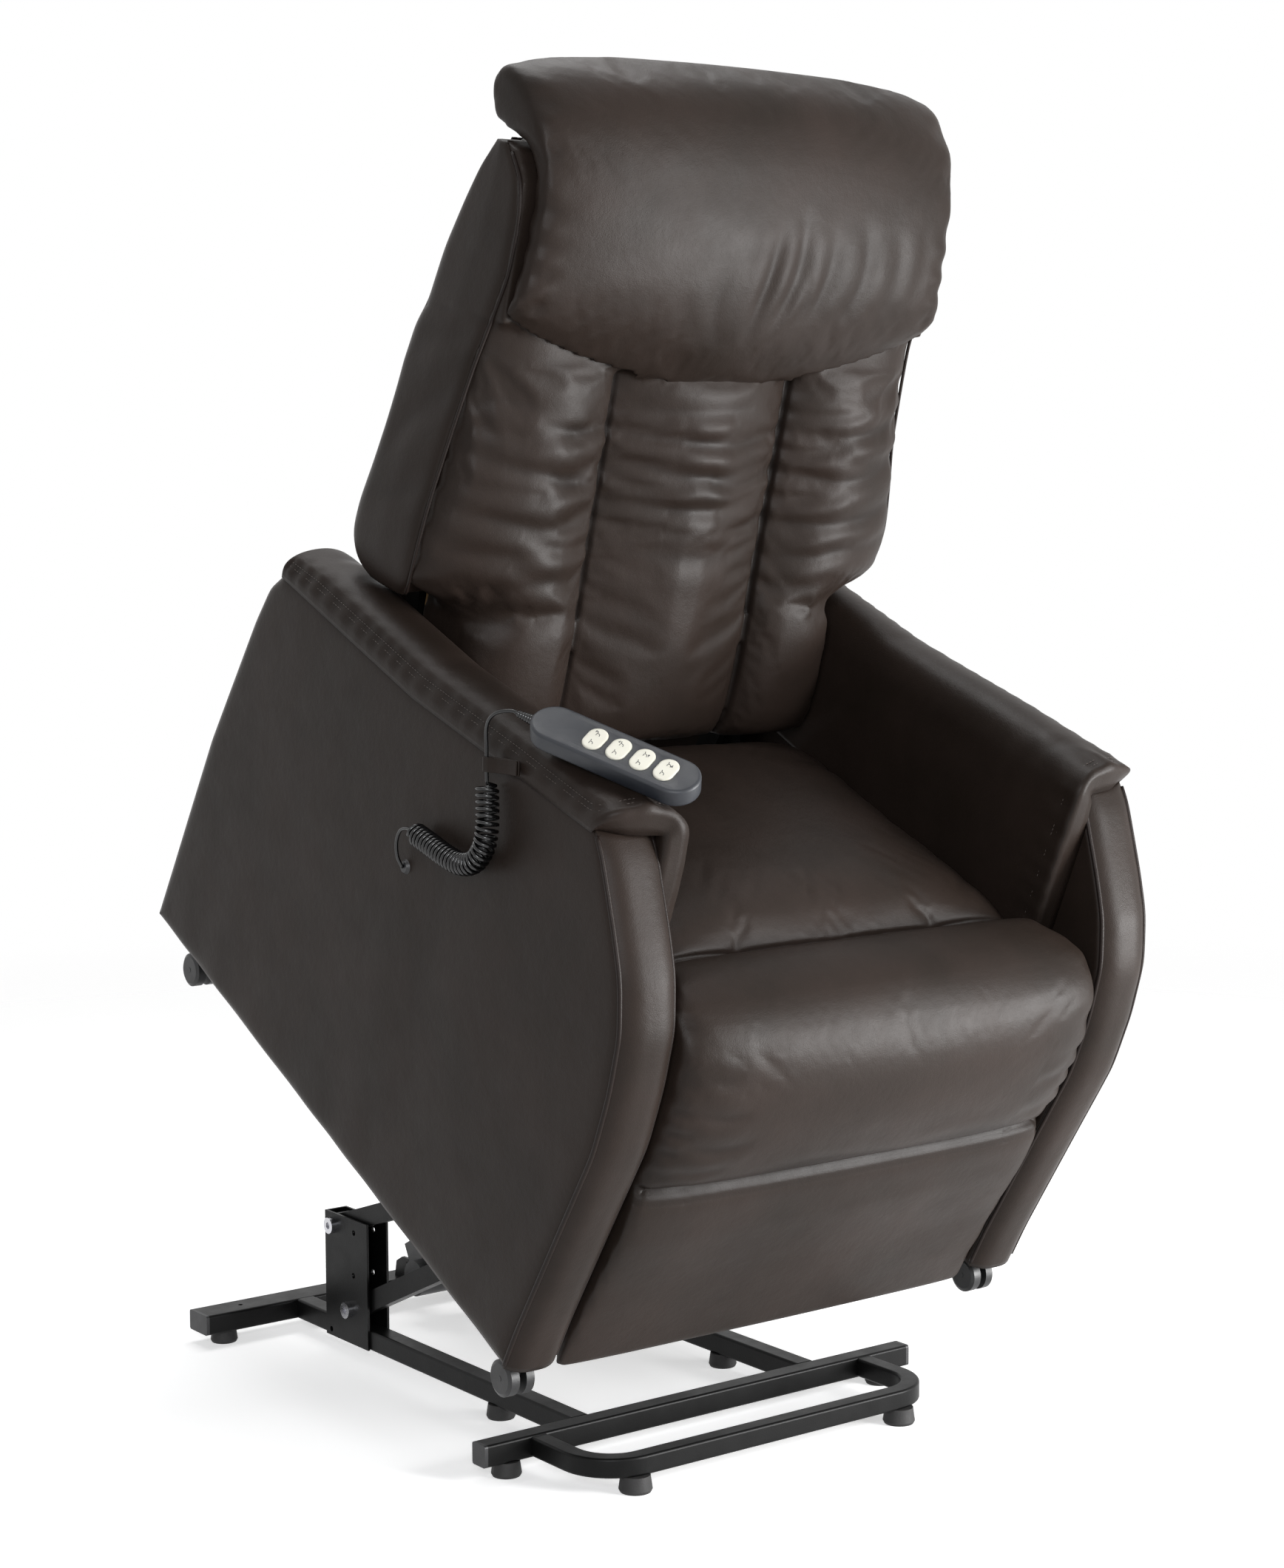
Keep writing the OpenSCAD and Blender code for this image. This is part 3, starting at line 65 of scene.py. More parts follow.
LEG_SWELL, ROLL_TOP, TUCK_Z = 3.0, 480.0, 287.0
BASE_L, REAR_TUBE_D = 630.0, 44.0


def seam_z(y):
    return np.interp(y, [p[0] for p in ARM_TOP], [p[1] for p in ARM_TOP])


def lift(y, z):
    return (CARRY[0] + (y - MOUNT[0]) * math.cos(TIP) - (z - MOUNT[1]) * math.sin(TIP),
            CARRY[1] + (y - MOUNT[0]) * math.sin(TIP) + (z - MOUNT[1]) * math.cos(TIP))


FRONT_END = min(lift(r[0] - (LEG_SWELL if r[1] < ROLL_TOP else 0), r[1])[0] for r in LEG_ROWS)
CENTRE_Y = -(FRONT_END + BASE_L / 2 + REAR_TUBE_D / 2) / 2

ROW = Matrix.Translation((0, CENTRE_Y * MM, 0))
CHAIR = (ROW @ Matrix.Translation((0, CARRY[0] * MM, CARRY[1] * MM)) @ Matrix.Rotation(TIP, 4, "X")
         @ Matrix.Translation((0, -MOUNT[0] * MM, -MOUNT[1] * MM)))
BACK = CHAIR @ Matrix.Translation((0, HINGE[0] * MM, HINGE[1] * MM)) @ Matrix.Rotation(-SLOPE, 4, "X")
HAND_Z = seam_z(HAND_AT[1]) + PAD_CROWN + HAND_RISE
TURNED = Matrix.Rotation(LEAN, 4, "X") @ Matrix.Rotation(-ROLL, 4, "Y") @ Matrix.Rotation(YAW, 4, "Z")
HELD = CHAIR @ Matrix.Translation((HAND_AT[0] * MM, HAND_AT[1] * MM, HAND_Z * MM)) @ TURNED


def to_row(matrix, points):
    m = np.array(matrix)
    return np.asarray(points, float) * MM @ m[:3, :3].T + m[:3, 3]


# ---- Camera ------------------------------------------------------------------

FOCAL_PX, FRAME_H_PX, SENSOR = 3993.01, 2120, 36
CAMERA_AT = (-2.0138, -2.7293, 1.0830)
CAMERA_YAW, CAMERA_PITCH, CAMERA_ROLL = 0.6424, 0.1052, -0.0043
cam_data = bpy.data.cameras.new("camera")
camera = bpy.data.objects.new("camera", cam_data)
bpy.context.scene.collection.objects.link(camera)
bpy.context.scene.camera = camera
cam_data.sensor_fit = "VERTICAL"
cam_data.sensor_height = cam_data.sensor_width = SENSOR
cam_data.lens = FOCAL_PX / FRAME_H_PX * SENSOR
camera.location = CAMERA_AT
look = Vector((math.sin(CAMERA_YAW) * math.cos(CAMERA_PITCH),
               math.cos(CAMERA_YAW) * math.cos(CAMERA_PITCH), -math.sin(CAMERA_PITCH)))
camera.rotation_mode = "QUATERNION"
turn = look.to_track_quat("-Z", "Y")
camera.rotation_quaternion = turn @ Matrix.Rotation(CAMERA_ROLL, 4, "Z").to_quaternion()

# ---- Shared geometry ---------------------------------------------------------


def new_object(name, verts, faces):
    """A mesh object from points in metres."""
    mesh = bpy.data.meshes.new(name)
    mesh.from_pydata([tuple(v) for v in verts], [], [tuple(f) for f in faces])
    mesh.update()
    mesh.shade_smooth()
    obj = bpy.data.objects.new(name, mesh)
    bpy.context.scene.collection.objects.link(obj)
    return obj


def steps(n, ease=2.0):
    a = np.linspace(-1, 1, n)
    return np.sign(a) * (1 - (1 - np.abs(a)) ** ease)


def soften(p, passes):
    """Rounds the corners of a run of rows, keeping its two ends."""
    p = np.array(p, float)
    for _ in range(passes):
        p[1:-1] = p[:-2] / 4 + p[1:-1] / 2 + p[2:] / 4
    return p


def run_of(p):
    """How far along its own line each point lies."""
    return np.concatenate([[0], np.cumsum(np.linalg.norm(np.diff(p, axis=0), axis=1))])


def at_run(at, run, p):
    """The values of p where its run reaches each length in at."""
    return np.stack([np.interp(at, run, p[:, k]) for k in range(p.shape[1])], 1)


def dense(rows, n, passes=0, keys=slice(None)):
    """Rows spaced evenly along their own run, then softened."""
    p = np.array(rows, float)
    run = run_of(p[:, keys])
    return soften(at_run(np.linspace(0, run[-1], n), run, p), passes)


def mix(a, b, t):
    return a + (b - a) * t


def crown(t):
    return np.maximum(0, 1 - np.abs(t) ** 6) ** (1 / 3)


def channel(t):
    return np.maximum(0, 1 - np.abs(t) ** 2.4) ** 0.6


def bell(x, w):
    return np.exp(-(x / w) ** 2)


def ramp(v, low, high):
    """Smooth step from 0 at low to 1 at high."""
    t = np.clip((v - low) / (high - low), 0, 1)
    return t * t * (3 - 2 * t)


def quilt(name, front, back, inner=3):
    """Closed form between two grids of points (rows, columns, 3) in mm, in its own frame."""
    n, m = front.shape[:2]
    rim = ([(0, j) for j in range(m)] + [(i, m - 1) for i in range(1, n)]
           + [(n - 1, j) for j in range(m - 2, -1, -1)] + [(i, 0) for i in range(n - 2, 0, -1)])
    verts = [front.reshape(-1, 3), back.reshape(-1, 3)]
    count = 2 * n * m

    def f(i, j):
        return i * m + j

    def b(i, j):
        return n * m + i * m + j

    faces = [(f(i, j), f(i, j + 1), f(i + 1, j + 1), f(i + 1, j))
             for i in range(n - 1) for j in range(m - 1)]
    faces += [(b(i, j), b(i + 1, j), b(i + 1, j + 1), b(i, j + 1))
              for i in range(n - 1) for j in range(m - 1)]
    rings = [[f(*r) for r in rim]]
    for k in range(1, inner):
        t = k / inner
        verts.append(np.array([mix(front[r], back[r], t) for r in rim]))
        rings.append(list(range(count, count + len(rim))))
        count += len(rim)
    rings.append([b(*r) for r in rim])
    for low, high in zip(rings, rings[1:]):
        for k in range(len(rim)):
            q = (k + 1) % len(rim)
            faces.append((low[q], low[k], high[k], high[q]))
    obj = new_object(name, np.concatenate(verts) * MM, faces)
    tidy(obj)
    return obj


def tidy(obj):
    """Merges doubles and turns the faces outwards."""
    bm = bmesh.new()
    bm.from_mesh(obj.data)
    bmesh.ops.remove_doubles(bm, verts=bm.verts, dist=0.00005)
    bmesh.ops.recalc_face_normals(bm, faces=bm.faces)
    bm.to_mesh(obj.data)
    bm.free()
    obj.data.update()
    obj.data.shade_smooth()


def points_of(obj):
    co = np.zeros(len(obj.data.vertices) * 3, np.float32)
    obj.data.vertices.foreach_get("co", co)
    no = np.zeros(len(obj.data.vertices) * 3, np.float32)
    obj.data.vertices.foreach_get("normal", no)
    return co.reshape(-1, 3).astype(float), no.reshape(-1, 3).astype(float)


def emboss(obj, height):
    """Moves each vertex along its normal by height(points in mm, normals) mm and keeps the depth in the
    groove attribute, from which the leather paints shade into its creases and seams.
    """
    co, no = points_of(obj)
    h = height(co / MM, no)
    obj.data.vertices.foreach_set("co", (co + no * h[:, None] * MM).astype(np.float32).ravel())
    mark = obj.data.attributes.get("groove") or obj.data.attributes.new("groove", "FLOAT", "POINT")
    old = np.zeros(len(co), np.float32)
    mark.data.foreach_get("value", old)
    mark.data.foreach_set("value", (old + h).astype(np.float32))
    obj.data.update()


def distance(points, line):
    """Distance to a polyline, and the share along it, in as many dimensions as it has."""
    line = np.asarray(line, float)
    run = run_of(line)
    best = np.full(len(points), 1e9)
    share = np.zeros(len(points))
    for k in range(len(line) - 1):
        a, d = line[k], line[k + 1] - line[k]
        t = np.clip((points - a) @ d / max(d @ d, 1e-9), 0, 1)
        r = np.linalg.norm(points - a - t[:, None] * d, axis=1)
        near = r < best
        best[near] = r[near]
        share[near] = (run[k] + t[near] * (run[k + 1] - run[k])) / run[-1]
    return best, share


def fold(points, line, width, depth, shoulder=0.5, power=0.8):
    """A crease with raised shoulders that fades towards its two ends."""
    d, s = distance(points, dense(line, 14, 6))
    fade = np.sin(np.pi * np.clip(s, 0.001, 0.999)) ** power
    return fade * depth * (-bell(d, width) + shoulder * bell(d - 2.1 * width, 1.3 * width))


def folds(points, table, shoulder=0.5, power=0.8):
    """The sum of several creases, each a line, its width and its depth."""
    return sum(fold(points, line, width, depth, shoulder, power) for line, width, depth in table)


def groove(points, line, width, depth):
    d, _ = distance(points, line)
    return -depth * bell(d, width)


VOXEL = 0.006


def puff(obj, cap, pin, frames, pressure, grow=0.0):
    """Cloth under inner pressure; no point moves further than cap mm. Applied to the mesh."""
    scene = bpy.context.scene
    remesh = obj.modifiers.new("remesh", "REMESH")
    remesh.mode = "VOXEL"
    remesh.voxel_size = VOXEL
    apply_modifiers(obj)
    start, no = points_of(obj)
    group = obj.vertex_groups.new(name="held")
    held = pin(start / MM, no)
    for k in np.nonzero(held > 0.01)[0]:
        group.add([int(k)], float(held[k]), "REPLACE")
    cloth = obj.modifiers.new("cloth", "CLOTH")
    s = cloth.settings
    s.quality = 5
    s.mass = 0.3
    s.tension_stiffness = s.compression_stiffness = 15
    s.shear_stiffness = 5
    s.bending_stiffness = 0.5
    s.use_pressure = True
    s.uniform_pressure_force = pressure
    s.effector_weights.gravity = 0
    s.shrink_min = -grow
    s.vertex_group_mass = "held"
    cloth.point_cache.frame_start = 1
    cloth.point_cache.frame_end = frames
    for f in range(1, frames + 1):
        scene.frame_set(f)
    apply_modifiers(obj)
    scene.frame_set(1)
    end, _ = points_of(obj)
    move = end - start
    far = np.linalg.norm(move, axis=1)
    limit = cap * MM
    move *= (np.where(far > limit, limit, far) / np.maximum(far, 1e-9))[:, None]
    obj.data.vertices.foreach_set("co", (start + move).astype(np.float32).ravel())
    obj.vertex_groups.clear()
    obj.data.update()
    sub = obj.modifiers.new("sub", "SUBSURF")
    sub.levels = sub.render_levels = 1
    apply_modifiers(obj)
    obj.data.shade_smooth()


def apply_modifiers(obj):
    dg = bpy.context.evaluated_depsgraph_get()
    mesh = bpy.data.meshes.new_from_object(obj.evaluated_get(dg))
    old = obj.data
    obj.modifiers.clear()
    obj.data = mesh
    mesh.name = obj.name
    bpy.data.meshes.remove(old)


def round_edges(obj, width, angle):
    """A bevel of width mm on the edges sharper than an angle in degrees."""
    bevel = obj.modifiers.new("edge", "BEVEL")
    bevel.width = width * MM
    bevel.segments = 2
    bevel.limit_method = "ANGLE"
    bevel.angle_limit = math.radians(angle)


def tube_mesh(path, radius, sides=10, first=None):
    """Vertices and faces of a tube along points in mm, with rings kept from twisting."""
    p = np.asarray(path, float)
    t = np.gradient(p, axis=0)
    t /= np.linalg.norm(t, axis=1)[:, None]
    r = np.broadcast_to(np.asarray(radius, float), (len(p),))
    if first is None:
        first = [0, 0, 1] if abs(t[0][2]) < 0.9 else [1, 0, 0]
    u = np.array(first, float)
    verts, faces = [], []
    for i in range(len(p)):
        u = u - t[i] * (u @ t[i])
        u /= np.linalg.norm(u)
        w = np.cross(t[i], u)
        for k in range(sides):
            a = 2 * math.pi * k / sides
            verts.append(p[i] + r[i] * (math.cos(a) * u + math.sin(a) * w))
    for i in range(len(p) - 1):
        for k in range(sides):
            q = (k + 1) % sides
            faces.append((i * sides + k, i * sides + q, (i + 1) * sides + q, (i + 1) * sides + k))
    faces.append(tuple(range(sides - 1, -1, -1)))
    faces.append(tuple((len(p) - 1) * sides + k for k in range(sides)))
    return verts, faces


def joined(name, parts, matrix):
    """One object from several (vertices in mm, faces) in a frame of the chair."""
    verts, faces = [], []
    for v, f in parts:
        base = len(verts)
        verts.extend(list(v))
        faces.extend([tuple(i + base for i in face) for face in f])
    obj = new_object(name, to_row(matrix, np.array(verts)), faces)
    tidy(obj)
    return obj


def stitch(p, way, out, length, r):
    """One short stitch that dips into the leather at both ends."""
    s = np.linspace(-1, 1, 5)
    path = [p + way * length / 2 * a + out * r * (0.55 - 1.1 * a * a) for a in s]
    return tube_mesh(path, r * np.array([0.55, 0.95, 1, 0.95, 0.55]), 6, first=out)


def stitches(path, out, pitch=5.2, length=3.6, r=0.42, lift_by=0.0):
    """Stitches along a path in mm; out is a direction off the leather at each point."""
    p = np.asarray(path, float)
    n = np.asarray(out, float)
    run = run_of(p)
    at = np.arange(pitch / 2, run[-1], pitch)
    parts = []
    for a, b, c in zip(at_run(at, run, p), at_run(at + 0.5, run, p), at_run(at, run, n)):
        way = b - a
        if np.linalg.norm(way) < 1e-6:
            continue
        c = c / np.linalg.norm(c)
        parts.append(stitch(a + c * lift_by, way / np.linalg.norm(way), c, length, r))
    return parts


def mirrored(parts):
    """The same parts on the other side of the chair, with their faces turned."""
    return [([np.array([-v[0], v[1], v[2]]) for v in verts], [tuple(reversed(f)) for f in faces])
            for verts, faces in parts]


def place(obj, matrix, body, slot, *nodes):
    """Paints a piece made in its own frame and puts it where the CAD says, on its body."""
    paint(obj, {"brown_leather": LEATHER, "handset_shell": SHELL}[slot])
    obj.data.transform(matrix)
    if matrix.determinant() < 0:
        obj.data.flip_normals()
    obj.data.update()
    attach(obj, body)
    if nodes:
        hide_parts(*nodes)
    return obj


def twin(obj, name):
    """A second piece with a mesh of its own."""
    other = obj.copy()
    other.data = obj.data.copy()
    other.name = name
    bpy.context.scene.collection.objects.link(other)
    return other


MIRROR = Matrix.Diagonal((-1, 1, 1, 1))

# ---- Materials ---------------------------------------------------------------


class Nodes:
    """A short way to write a material's nodes."""

    def __init__(self, name):
        self.mat = bpy.data.materials.new(name)
        self.mat.use_nodes = True
        self.tree = self.mat.node_tree
        self.tree.nodes.clear()
        self.out = self.add("ShaderNodeOutputMaterial")
        self.bsdf = self.add("ShaderNodeBsdfPrincipled")
        self.link(self.bsdf.outputs[0], self.out.inputs[0])
        self.coord = self.add("ShaderNodeTexCoord").outputs["Object"]

    def add(self, kind, **values):
        node = self.tree.nodes.new(kind)
        for k, v in values.items():
            if k in node.inputs:
                node.inputs[k].default_value = v
            else:
                setattr(node, k, v)
        return node

    def link(self, a, b):
        self.tree.links.new(a, b)

    def set(self, **values):
        for k, v in values.items():
            self.bsdf.inputs[k.replace("_", " ")].default_value = v

    def noise(self, scale, detail=3.0, rough=0.55, stretch=None):
        node = self.add("ShaderNodeTexNoise", Scale=scale, Detail=detail, Roughness=rough)
        self.link(self.spread(stretch), node.inputs["Vector"])
        return node.outputs["Fac"]

    def spread(self, stretch):
        if stretch is None:
            return self.coord
        mapping = self.add("ShaderNodeMapping")
        mapping.inputs["Scale"].default_value = stretch
        self.link(self.coord, mapping.inputs["Vector"])
        return mapping.outputs[0]

    def cells(self, scale):
        node = self.add("ShaderNodeTexVoronoi", Scale=scale)
        self.link(self.coord, node.inputs["Vector"])
        return node.outputs["Distance"]

    def ramp(self, fac, *stops):
        node = self.add("ShaderNodeValToRGB")
        self.link(fac, node.inputs["Fac"])
        r = node.color_ramp
        while len(r.elements) < len(stops):
            r.elements.new(0.5)
        for e, (at, colour) in zip(r.elements, stops):
            e.position = at
            e.color = (*colour, 1)
        return node.outputs["Color"]

    def range(self, fac, *limits):
        node = self.add("ShaderNodeMapRange")
        for name, value in zip(("From Min", "From Max", "To Min", "To Max"), limits):
            node.inputs[name].default_value = value
        self.link(fac, node.inputs["Value"])
        return node.outputs["Result"]

    def blend(self, fac, a, b):
        node = self.add("ShaderNodeMix", data_type="RGBA")
        for socket, value in ((node.inputs[0], fac), (node.inputs[6], a), (node.inputs[7], b)):
            if isinstance(value, (int, float)):
                socket.default_value = value
            elif isinstance(value, tuple):
                socket.default_value = (*value, 1)
            else:
                self.link(value, socket)
        return node.outputs[2]

    def bump(self, height, distance, strength=1.0, after=None):
        node = self.add("ShaderNodeBump", Distance=distance, Strength=strength)
        self.link(height, node.inputs["Height"])
        if after is not None:
            self.link(after, node.inputs["Normal"])
        return node.outputs["Normal"]

    def attribute(self, name):
        return self.add("ShaderNodeAttribute", attribute_name=name).outputs["Fac"]

    def done(self, colour=None, rough=None, normal=None):
        if colour is not None:
            self.link(colour, self.bsdf.inputs["Base Color"])
        if rough is not None:
            self.link(rough, self.bsdf.inputs["Roughness"])
        if normal is not None:
            self.link(normal, self.bsdf.inputs["Normal"])
        return self.mat


def rgb(r, g, b):
    """Linear colour of a written 8-bit one."""
    return tuple(((c / 255 + 0.055) / 1.055) ** 2.4 if c > 10 else c / 255 / 12.92 for c in (r, g, b))


def leather(name, dark=(30, 24, 20), light=(40, 32, 28), rough=(0.42, 0.48)):
    m = Nodes(name)
    tone = m.ramp(m.noise(7, 4, 0.6), (0.3, rgb(*dark)), (0.7, rgb(*light)))
    # Painted shade: where the relief sinks into creases and seams, the leather is blended towards a
    # near-black brown.
    deep = m.range(m.attribute("groove"), -3.2, -0.4, 0.55, 0.0)
    tone = m.blend(deep, tone, rgb(20, 16, 14))
    pores = m.range(m.cells(620), 0.0, 0.5, 0.0, 1.0)
    wear = m.range(m.noise(24, 4, 0.6), 0.35, 0.7, *rough)
    fine = m.bump(pores, 0.00012, 0.55)
    soft = m.bump(m.noise(150, 4, 0.6), 0.0006, 0.35, fine)
    wide = m.bump(m.noise(28, 3, 0.5), 0.0022, 0.25, soft)
    m.set(Specular_IOR_Level=0.13)
    return m.done(tone, wear, wide)


def painted(name, colour=(8, 8, 8), rough=(0.34, 0.46)):
    m = Nodes(name)
    tone = m.ramp(m.noise(60, 4), (0.3, rgb(*colour)), (0.75, rgb(*(c + 5 for c in colour))))
    wear = m.range(m.noise(35, 5, 0.65), 0.3, 0.75, *rough)
    peel = m.bump(m.noise(420, 2), 0.0003, 0.3)
    m.set(Specular_IOR_Level=0.14)
    return m.done(tone, wear, peel)


def plastic(name, colour=(20, 20, 22), rough=(0.4, 0.52), grain=900, deep=0.00012, more=8):
    m = Nodes(name)
    tone = m.ramp(m.noise(40, 4), (0.3, rgb(*colour)), (0.75, rgb(*(min(255, c + more) for c in colour))))
    wear = m.range(m.noise(55, 4), 0.3, 0.75, *rough)
    spark = m.bump(m.cells(grain), deep, 0.5)
    return m.done(tone, wear, spark)


def metal(name, colour=(196, 196, 200), rough=(0.14, 0.26), stretch=None, scratch=0.0002):
    m = Nodes(name)
    tone = m.ramp(m.noise(50, 3), (0.3, rgb(*(c - 14 for c in colour))), (0.7, rgb(*colour)))
    wear = m.range(m.noise(90, 5, 0.7, stretch), 0.3, 0.7, *rough)
    marks = m.bump(m.noise(600, 3, 0.6, stretch), scratch, 0.3)
    m.set(Metallic=1.0)
    return m.done(tone, wear, marks)


def wood(name):
    m = Nodes(name)
    grain = m.noise(30, 6, 0.65, (1, 1, 12))
    tone = m.ramp(grain, (0.25, rgb(150, 116, 76)), (0.55, rgb(186, 150, 104)), (0.8, rgb(205, 172, 126)))
    return m.done(tone, m.range(grain, 0.2, 0.8, 0.5, 0.7), m.bump(grain, 0.0006, 0.5))


def fabric(name, colour=(34, 33, 34), more=26):
    m = Nodes(name)
    weave = m.add("ShaderNodeTexWave", Scale=260, Distortion=0.6)
    m.link(m.coord, weave.inputs["Vector"])
    cross = m.add("ShaderNodeTexWave", Scale=260, Distortion=0.6)
    cross.bands_direction = "Y"
    m.link(m.coord, cross.inputs["Vector"])
    both = m.blend(0.5, weave.outputs["Color"], cross.outputs["Color"])
    tone = m.blend(m.noise(30), rgb(*colour), rgb(*(c + more for c in colour)))
    m.set(Sheen_Weight=0.3)
    return m.done(tone, m.range(both, 0, 1, 0.8, 0.95), m.bump(both, 0.0006, 0.6))


LEATHER = leather("brown_leather")
# Painted shade: the piping is the same leather as the cushions, made a little darker to stand for the shade
# along the seams.
SHADED_PIPING = leather("brown_leather_piping_shaded", (26, 20, 18), (35, 28, 25), (0.38, 0.46))
THREAD = plastic("brown_thread", (56, 48, 43), (0.6, 0.75), 1500, 0.00004)
PAINT = painted("black_frame_paint")
BLACK = plastic("black_moulded_plastic")
SHELL = plastic("handset_plastic", (24, 27, 33), (0.42, 0.55), 1400, 0.00010)
RUBBER = plastic("foot_rubber_black", (24, 23, 23), (0.62, 0.78), 500, 0.0002)
TREAD = plastic("castor_plastic", (12, 12, 13), (0.4, 0.55), 500, 0.0001)
CORD = plastic("cord_jacket", (5, 5, 6), (0.14, 0.22), 1200, 0.00003, 2)
WHITE = plastic("button_ivory", (222, 219, 204), (0.3, 0.42), 1200, 0.00004)
INK = plastic("button_ink", (38, 40, 44), (0.5, 0.6), 1400, 0.00003)
CHROME = metal("bolt_chrome_plate", (206, 206, 210), (0.12, 0.24))
STEEL = metal("rod_brushed_steel", (180, 181, 184), (0.2, 0.36), (1, 12, 12), 0.0003)
WOOD = wood("board_plywood")
WEB = fabric("black_webbing")


def paint(obj, material):
    obj.data.materials.clear()
    obj.data.materials.append(material)


CAD_LOOKS = {
    PAINT: ["rear_cross_tube", "front_cross_tube", "side_rails", "stabiliser_bar", "lift_posts",
            "actuator_clevis", "lower_arms", "lower_arm_cross_tube", "upper_arms", "mount_frame",
            "seat_rails", "seat_cross_tubes", "back_side_members", "back_cross_bars",
            "legrest_links_rear", "legrest_links_front"],
    BLACK: ["tube_end_caps", "lift_motor", "recline_motor", "legrest_motor", "control_box",
            "cord_gland"],
    RUBBER: ["base_feet"],
    TREAD: [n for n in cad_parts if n.startswith("castor")],
    CHROME: ["post_pivot_bolts", "mount_pins"],
    STEEL: ["lift_rod", "recline_rod", "legrest_rod"],
    WOOD: ["back_board", "legrest_board"],
    WEB: ["seat_webbing"],
}
BEVELS = {"rear_cross_tube": 0.8, "front_cross_tube": 0.8, "lift_posts": 0.5, "mount_frame": 0.8,
          "actuator_clevis": 0.6, "lift_motor": 2.0, "recline_motor": 2.0, "legrest_motor": 2.0,
          "control_box": 2.5, "legrest_board": 1.0, "back_board": 1.0}
for look_material, names in CAD_LOOKS.items():
    for node_name in names:
        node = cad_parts[node_name]
        paint(node, look_material)
        if node_name in BEVELS:
            round_edges(node, BEVELS[node_name], 35)

# ---- Handset cord: straight stretch, curly stretch and tail ------------------

CORD_D, CURL_D, CURLS, RELIEF_L = 4.0, 25.0, 33, 20.0
RUN_X = -374.0


def catmull(points, n):
    p = [np.array(q, float) for q in points]
    out = []
    for i in range(len(p) - 1):
        a, b, c, d = p[max(i - 1, 0)], p[i], p[i + 1], p[min(i + 2, len(p) - 1)]
        for k in range(n):
            t = k / n
            out.append((2 * b + (c - a) * t + (2 * a - 5 * b + 4 * c - d) * t * t
                        + (3 * b - a - 3 * c + d) * t ** 3) / 2)
    return np.array(out + [p[-1]])


exit_l = HAND_L / 2 + RELIEF_L
EXIT_WAY = np.array(TURNED.to_3x3() @ Vector((0, 1, 0)))
CORD_EXIT = np.array([*HAND_AT, HAND_Z]) + exit_l * EXIT_WAY
straight = catmull([CORD_EXIT, CORD_EXIT + 6 * EXIT_WAY, (-376, 287, 669), (-378, 295, 656),
                    (RUN_X - 2, 297, 641), (RUN_X, 292, 626), (RUN_X, 284, 610),
                    (RUN_X, 276, 595)], 4)
middle = catmull([(RUN_X, 276, 595), (RUN_X - 2, 263, 577), (RUN_X - 4, 250, 557),
                  (RUN_X - 5, 245, 535), (RUN_X - 5, 253, 513), (RUN_X - 4, 274, 497),
                  (RUN_X - 3, 303, 488), (RUN_X - 1, 335, 481), (RUN_X, 368, 474)], 6)
tail = catmull([middle[-1], (RUN_X, 380, 471), (RUN_X, 391, 462), (RUN_X + 1, 394, 446),
                (RUN_X + 4, 390, 430), (RUN_X + 9, 385, 420.5), (-363, 384, 419)], 4)
tail = np.concatenate([tail[:-4], tail[-1:]])
middle_run = run_of(middle)


def on_middle(s):
    return at_run([s], middle_run, middle)[0]


def curl_frame(t):
    total = middle_run[-1]
    s = t * total
    way = on_middle(min(total, s + 6)) - on_middle(max(0, s - 6))
    way /= np.linalg.norm(way)
    out = np.cross(way, [0, way[2], -way[1]])
    out /= np.linalg.norm(out)
    return on_middle(s), out, np.cross(way, out), way


def curl_point(t):
    at, out, side, _ = curl_frame(t)
    r = (CURL_D - CORD_D) / 2 * min(1, t * CURLS / 0.7, (1 - t) * CURLS / 0.7)
    a = 2 * math.pi * CURLS * t
    return at + r * (math.cos(a) * side + math.sin(a) * out)


TURN = 16
curl = [middle[0], middle[0] + CORD_D * 0.6 * curl_frame(0)[3]]
curl += [curl_point(i / (CURLS * TURN)) for i in range(12, CURLS * TURN - 11)]
curl += [middle[-1] - CORD_D * 0.6 * curl_frame(1)[3], middle[-1]]
cord_line = np.concatenate([straight[:-1], np.array(curl)[:-1], tail])
cord_verts, cord_faces = tube_mesh(cord_line, CORD_D / 2, 10)
cord = new_object("handset_cord", to_row(CHAIR, cord_verts), cord_faces)
paint(cord, CORD)
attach(cord, "seat_body")
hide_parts("cord_straight", "cord_curly", "cord_tail")

# ---- Seat cushion ------------------------------------------------------------

SEAT_W, SOFT_GAP, SEAT_FROM, SEAT_TO = 524.0, 0.4, 86.0, 520.0
TUBES_TOP, WEBBING_T = 380, 3
SEAT_BOTTOM = TUBES_TOP + WEBBING_T + SOFT_GAP
SEAT_FRONT_Z, SEAT_REAR_Z, SEAT_CROWN = 500.0, 468.0, 16.0


def seat_grid(face, n, m):
    s, t = np.meshgrid(steps(n), steps(m), indexing="ij")
    half = SEAT_W / 2 - SOFT_GAP - 3 * (1 - np.abs(t) ** 4)
    y = mix(SEAT_FROM + 2 * (1 - s * s), SEAT_TO, (t + 1) / 2)
    rim = mix(SEAT_FRONT_Z, SEAT_REAR_Z, (t + 1) / 2) - 14
    middle_z = mix(SEAT_BOTTOM, rim, 0.62)
    roll = crown(s) * crown(t)
    swell = SEAT_CROWN * (1 - np.abs(s) ** 2.5) * (1 - np.abs(t) ** 4)
    if face > 0:
        z = mix(middle_z, rim + 14, roll) + swell
    else:
        z = mix(middle_z - 3, SEAT_BOTTOM, roll)
    return np.stack([half * s, y, z], -1)


seat = quilt("seat_cushion_leather", seat_grid(1, 96, 84), seat_grid(-1, 96, 84))


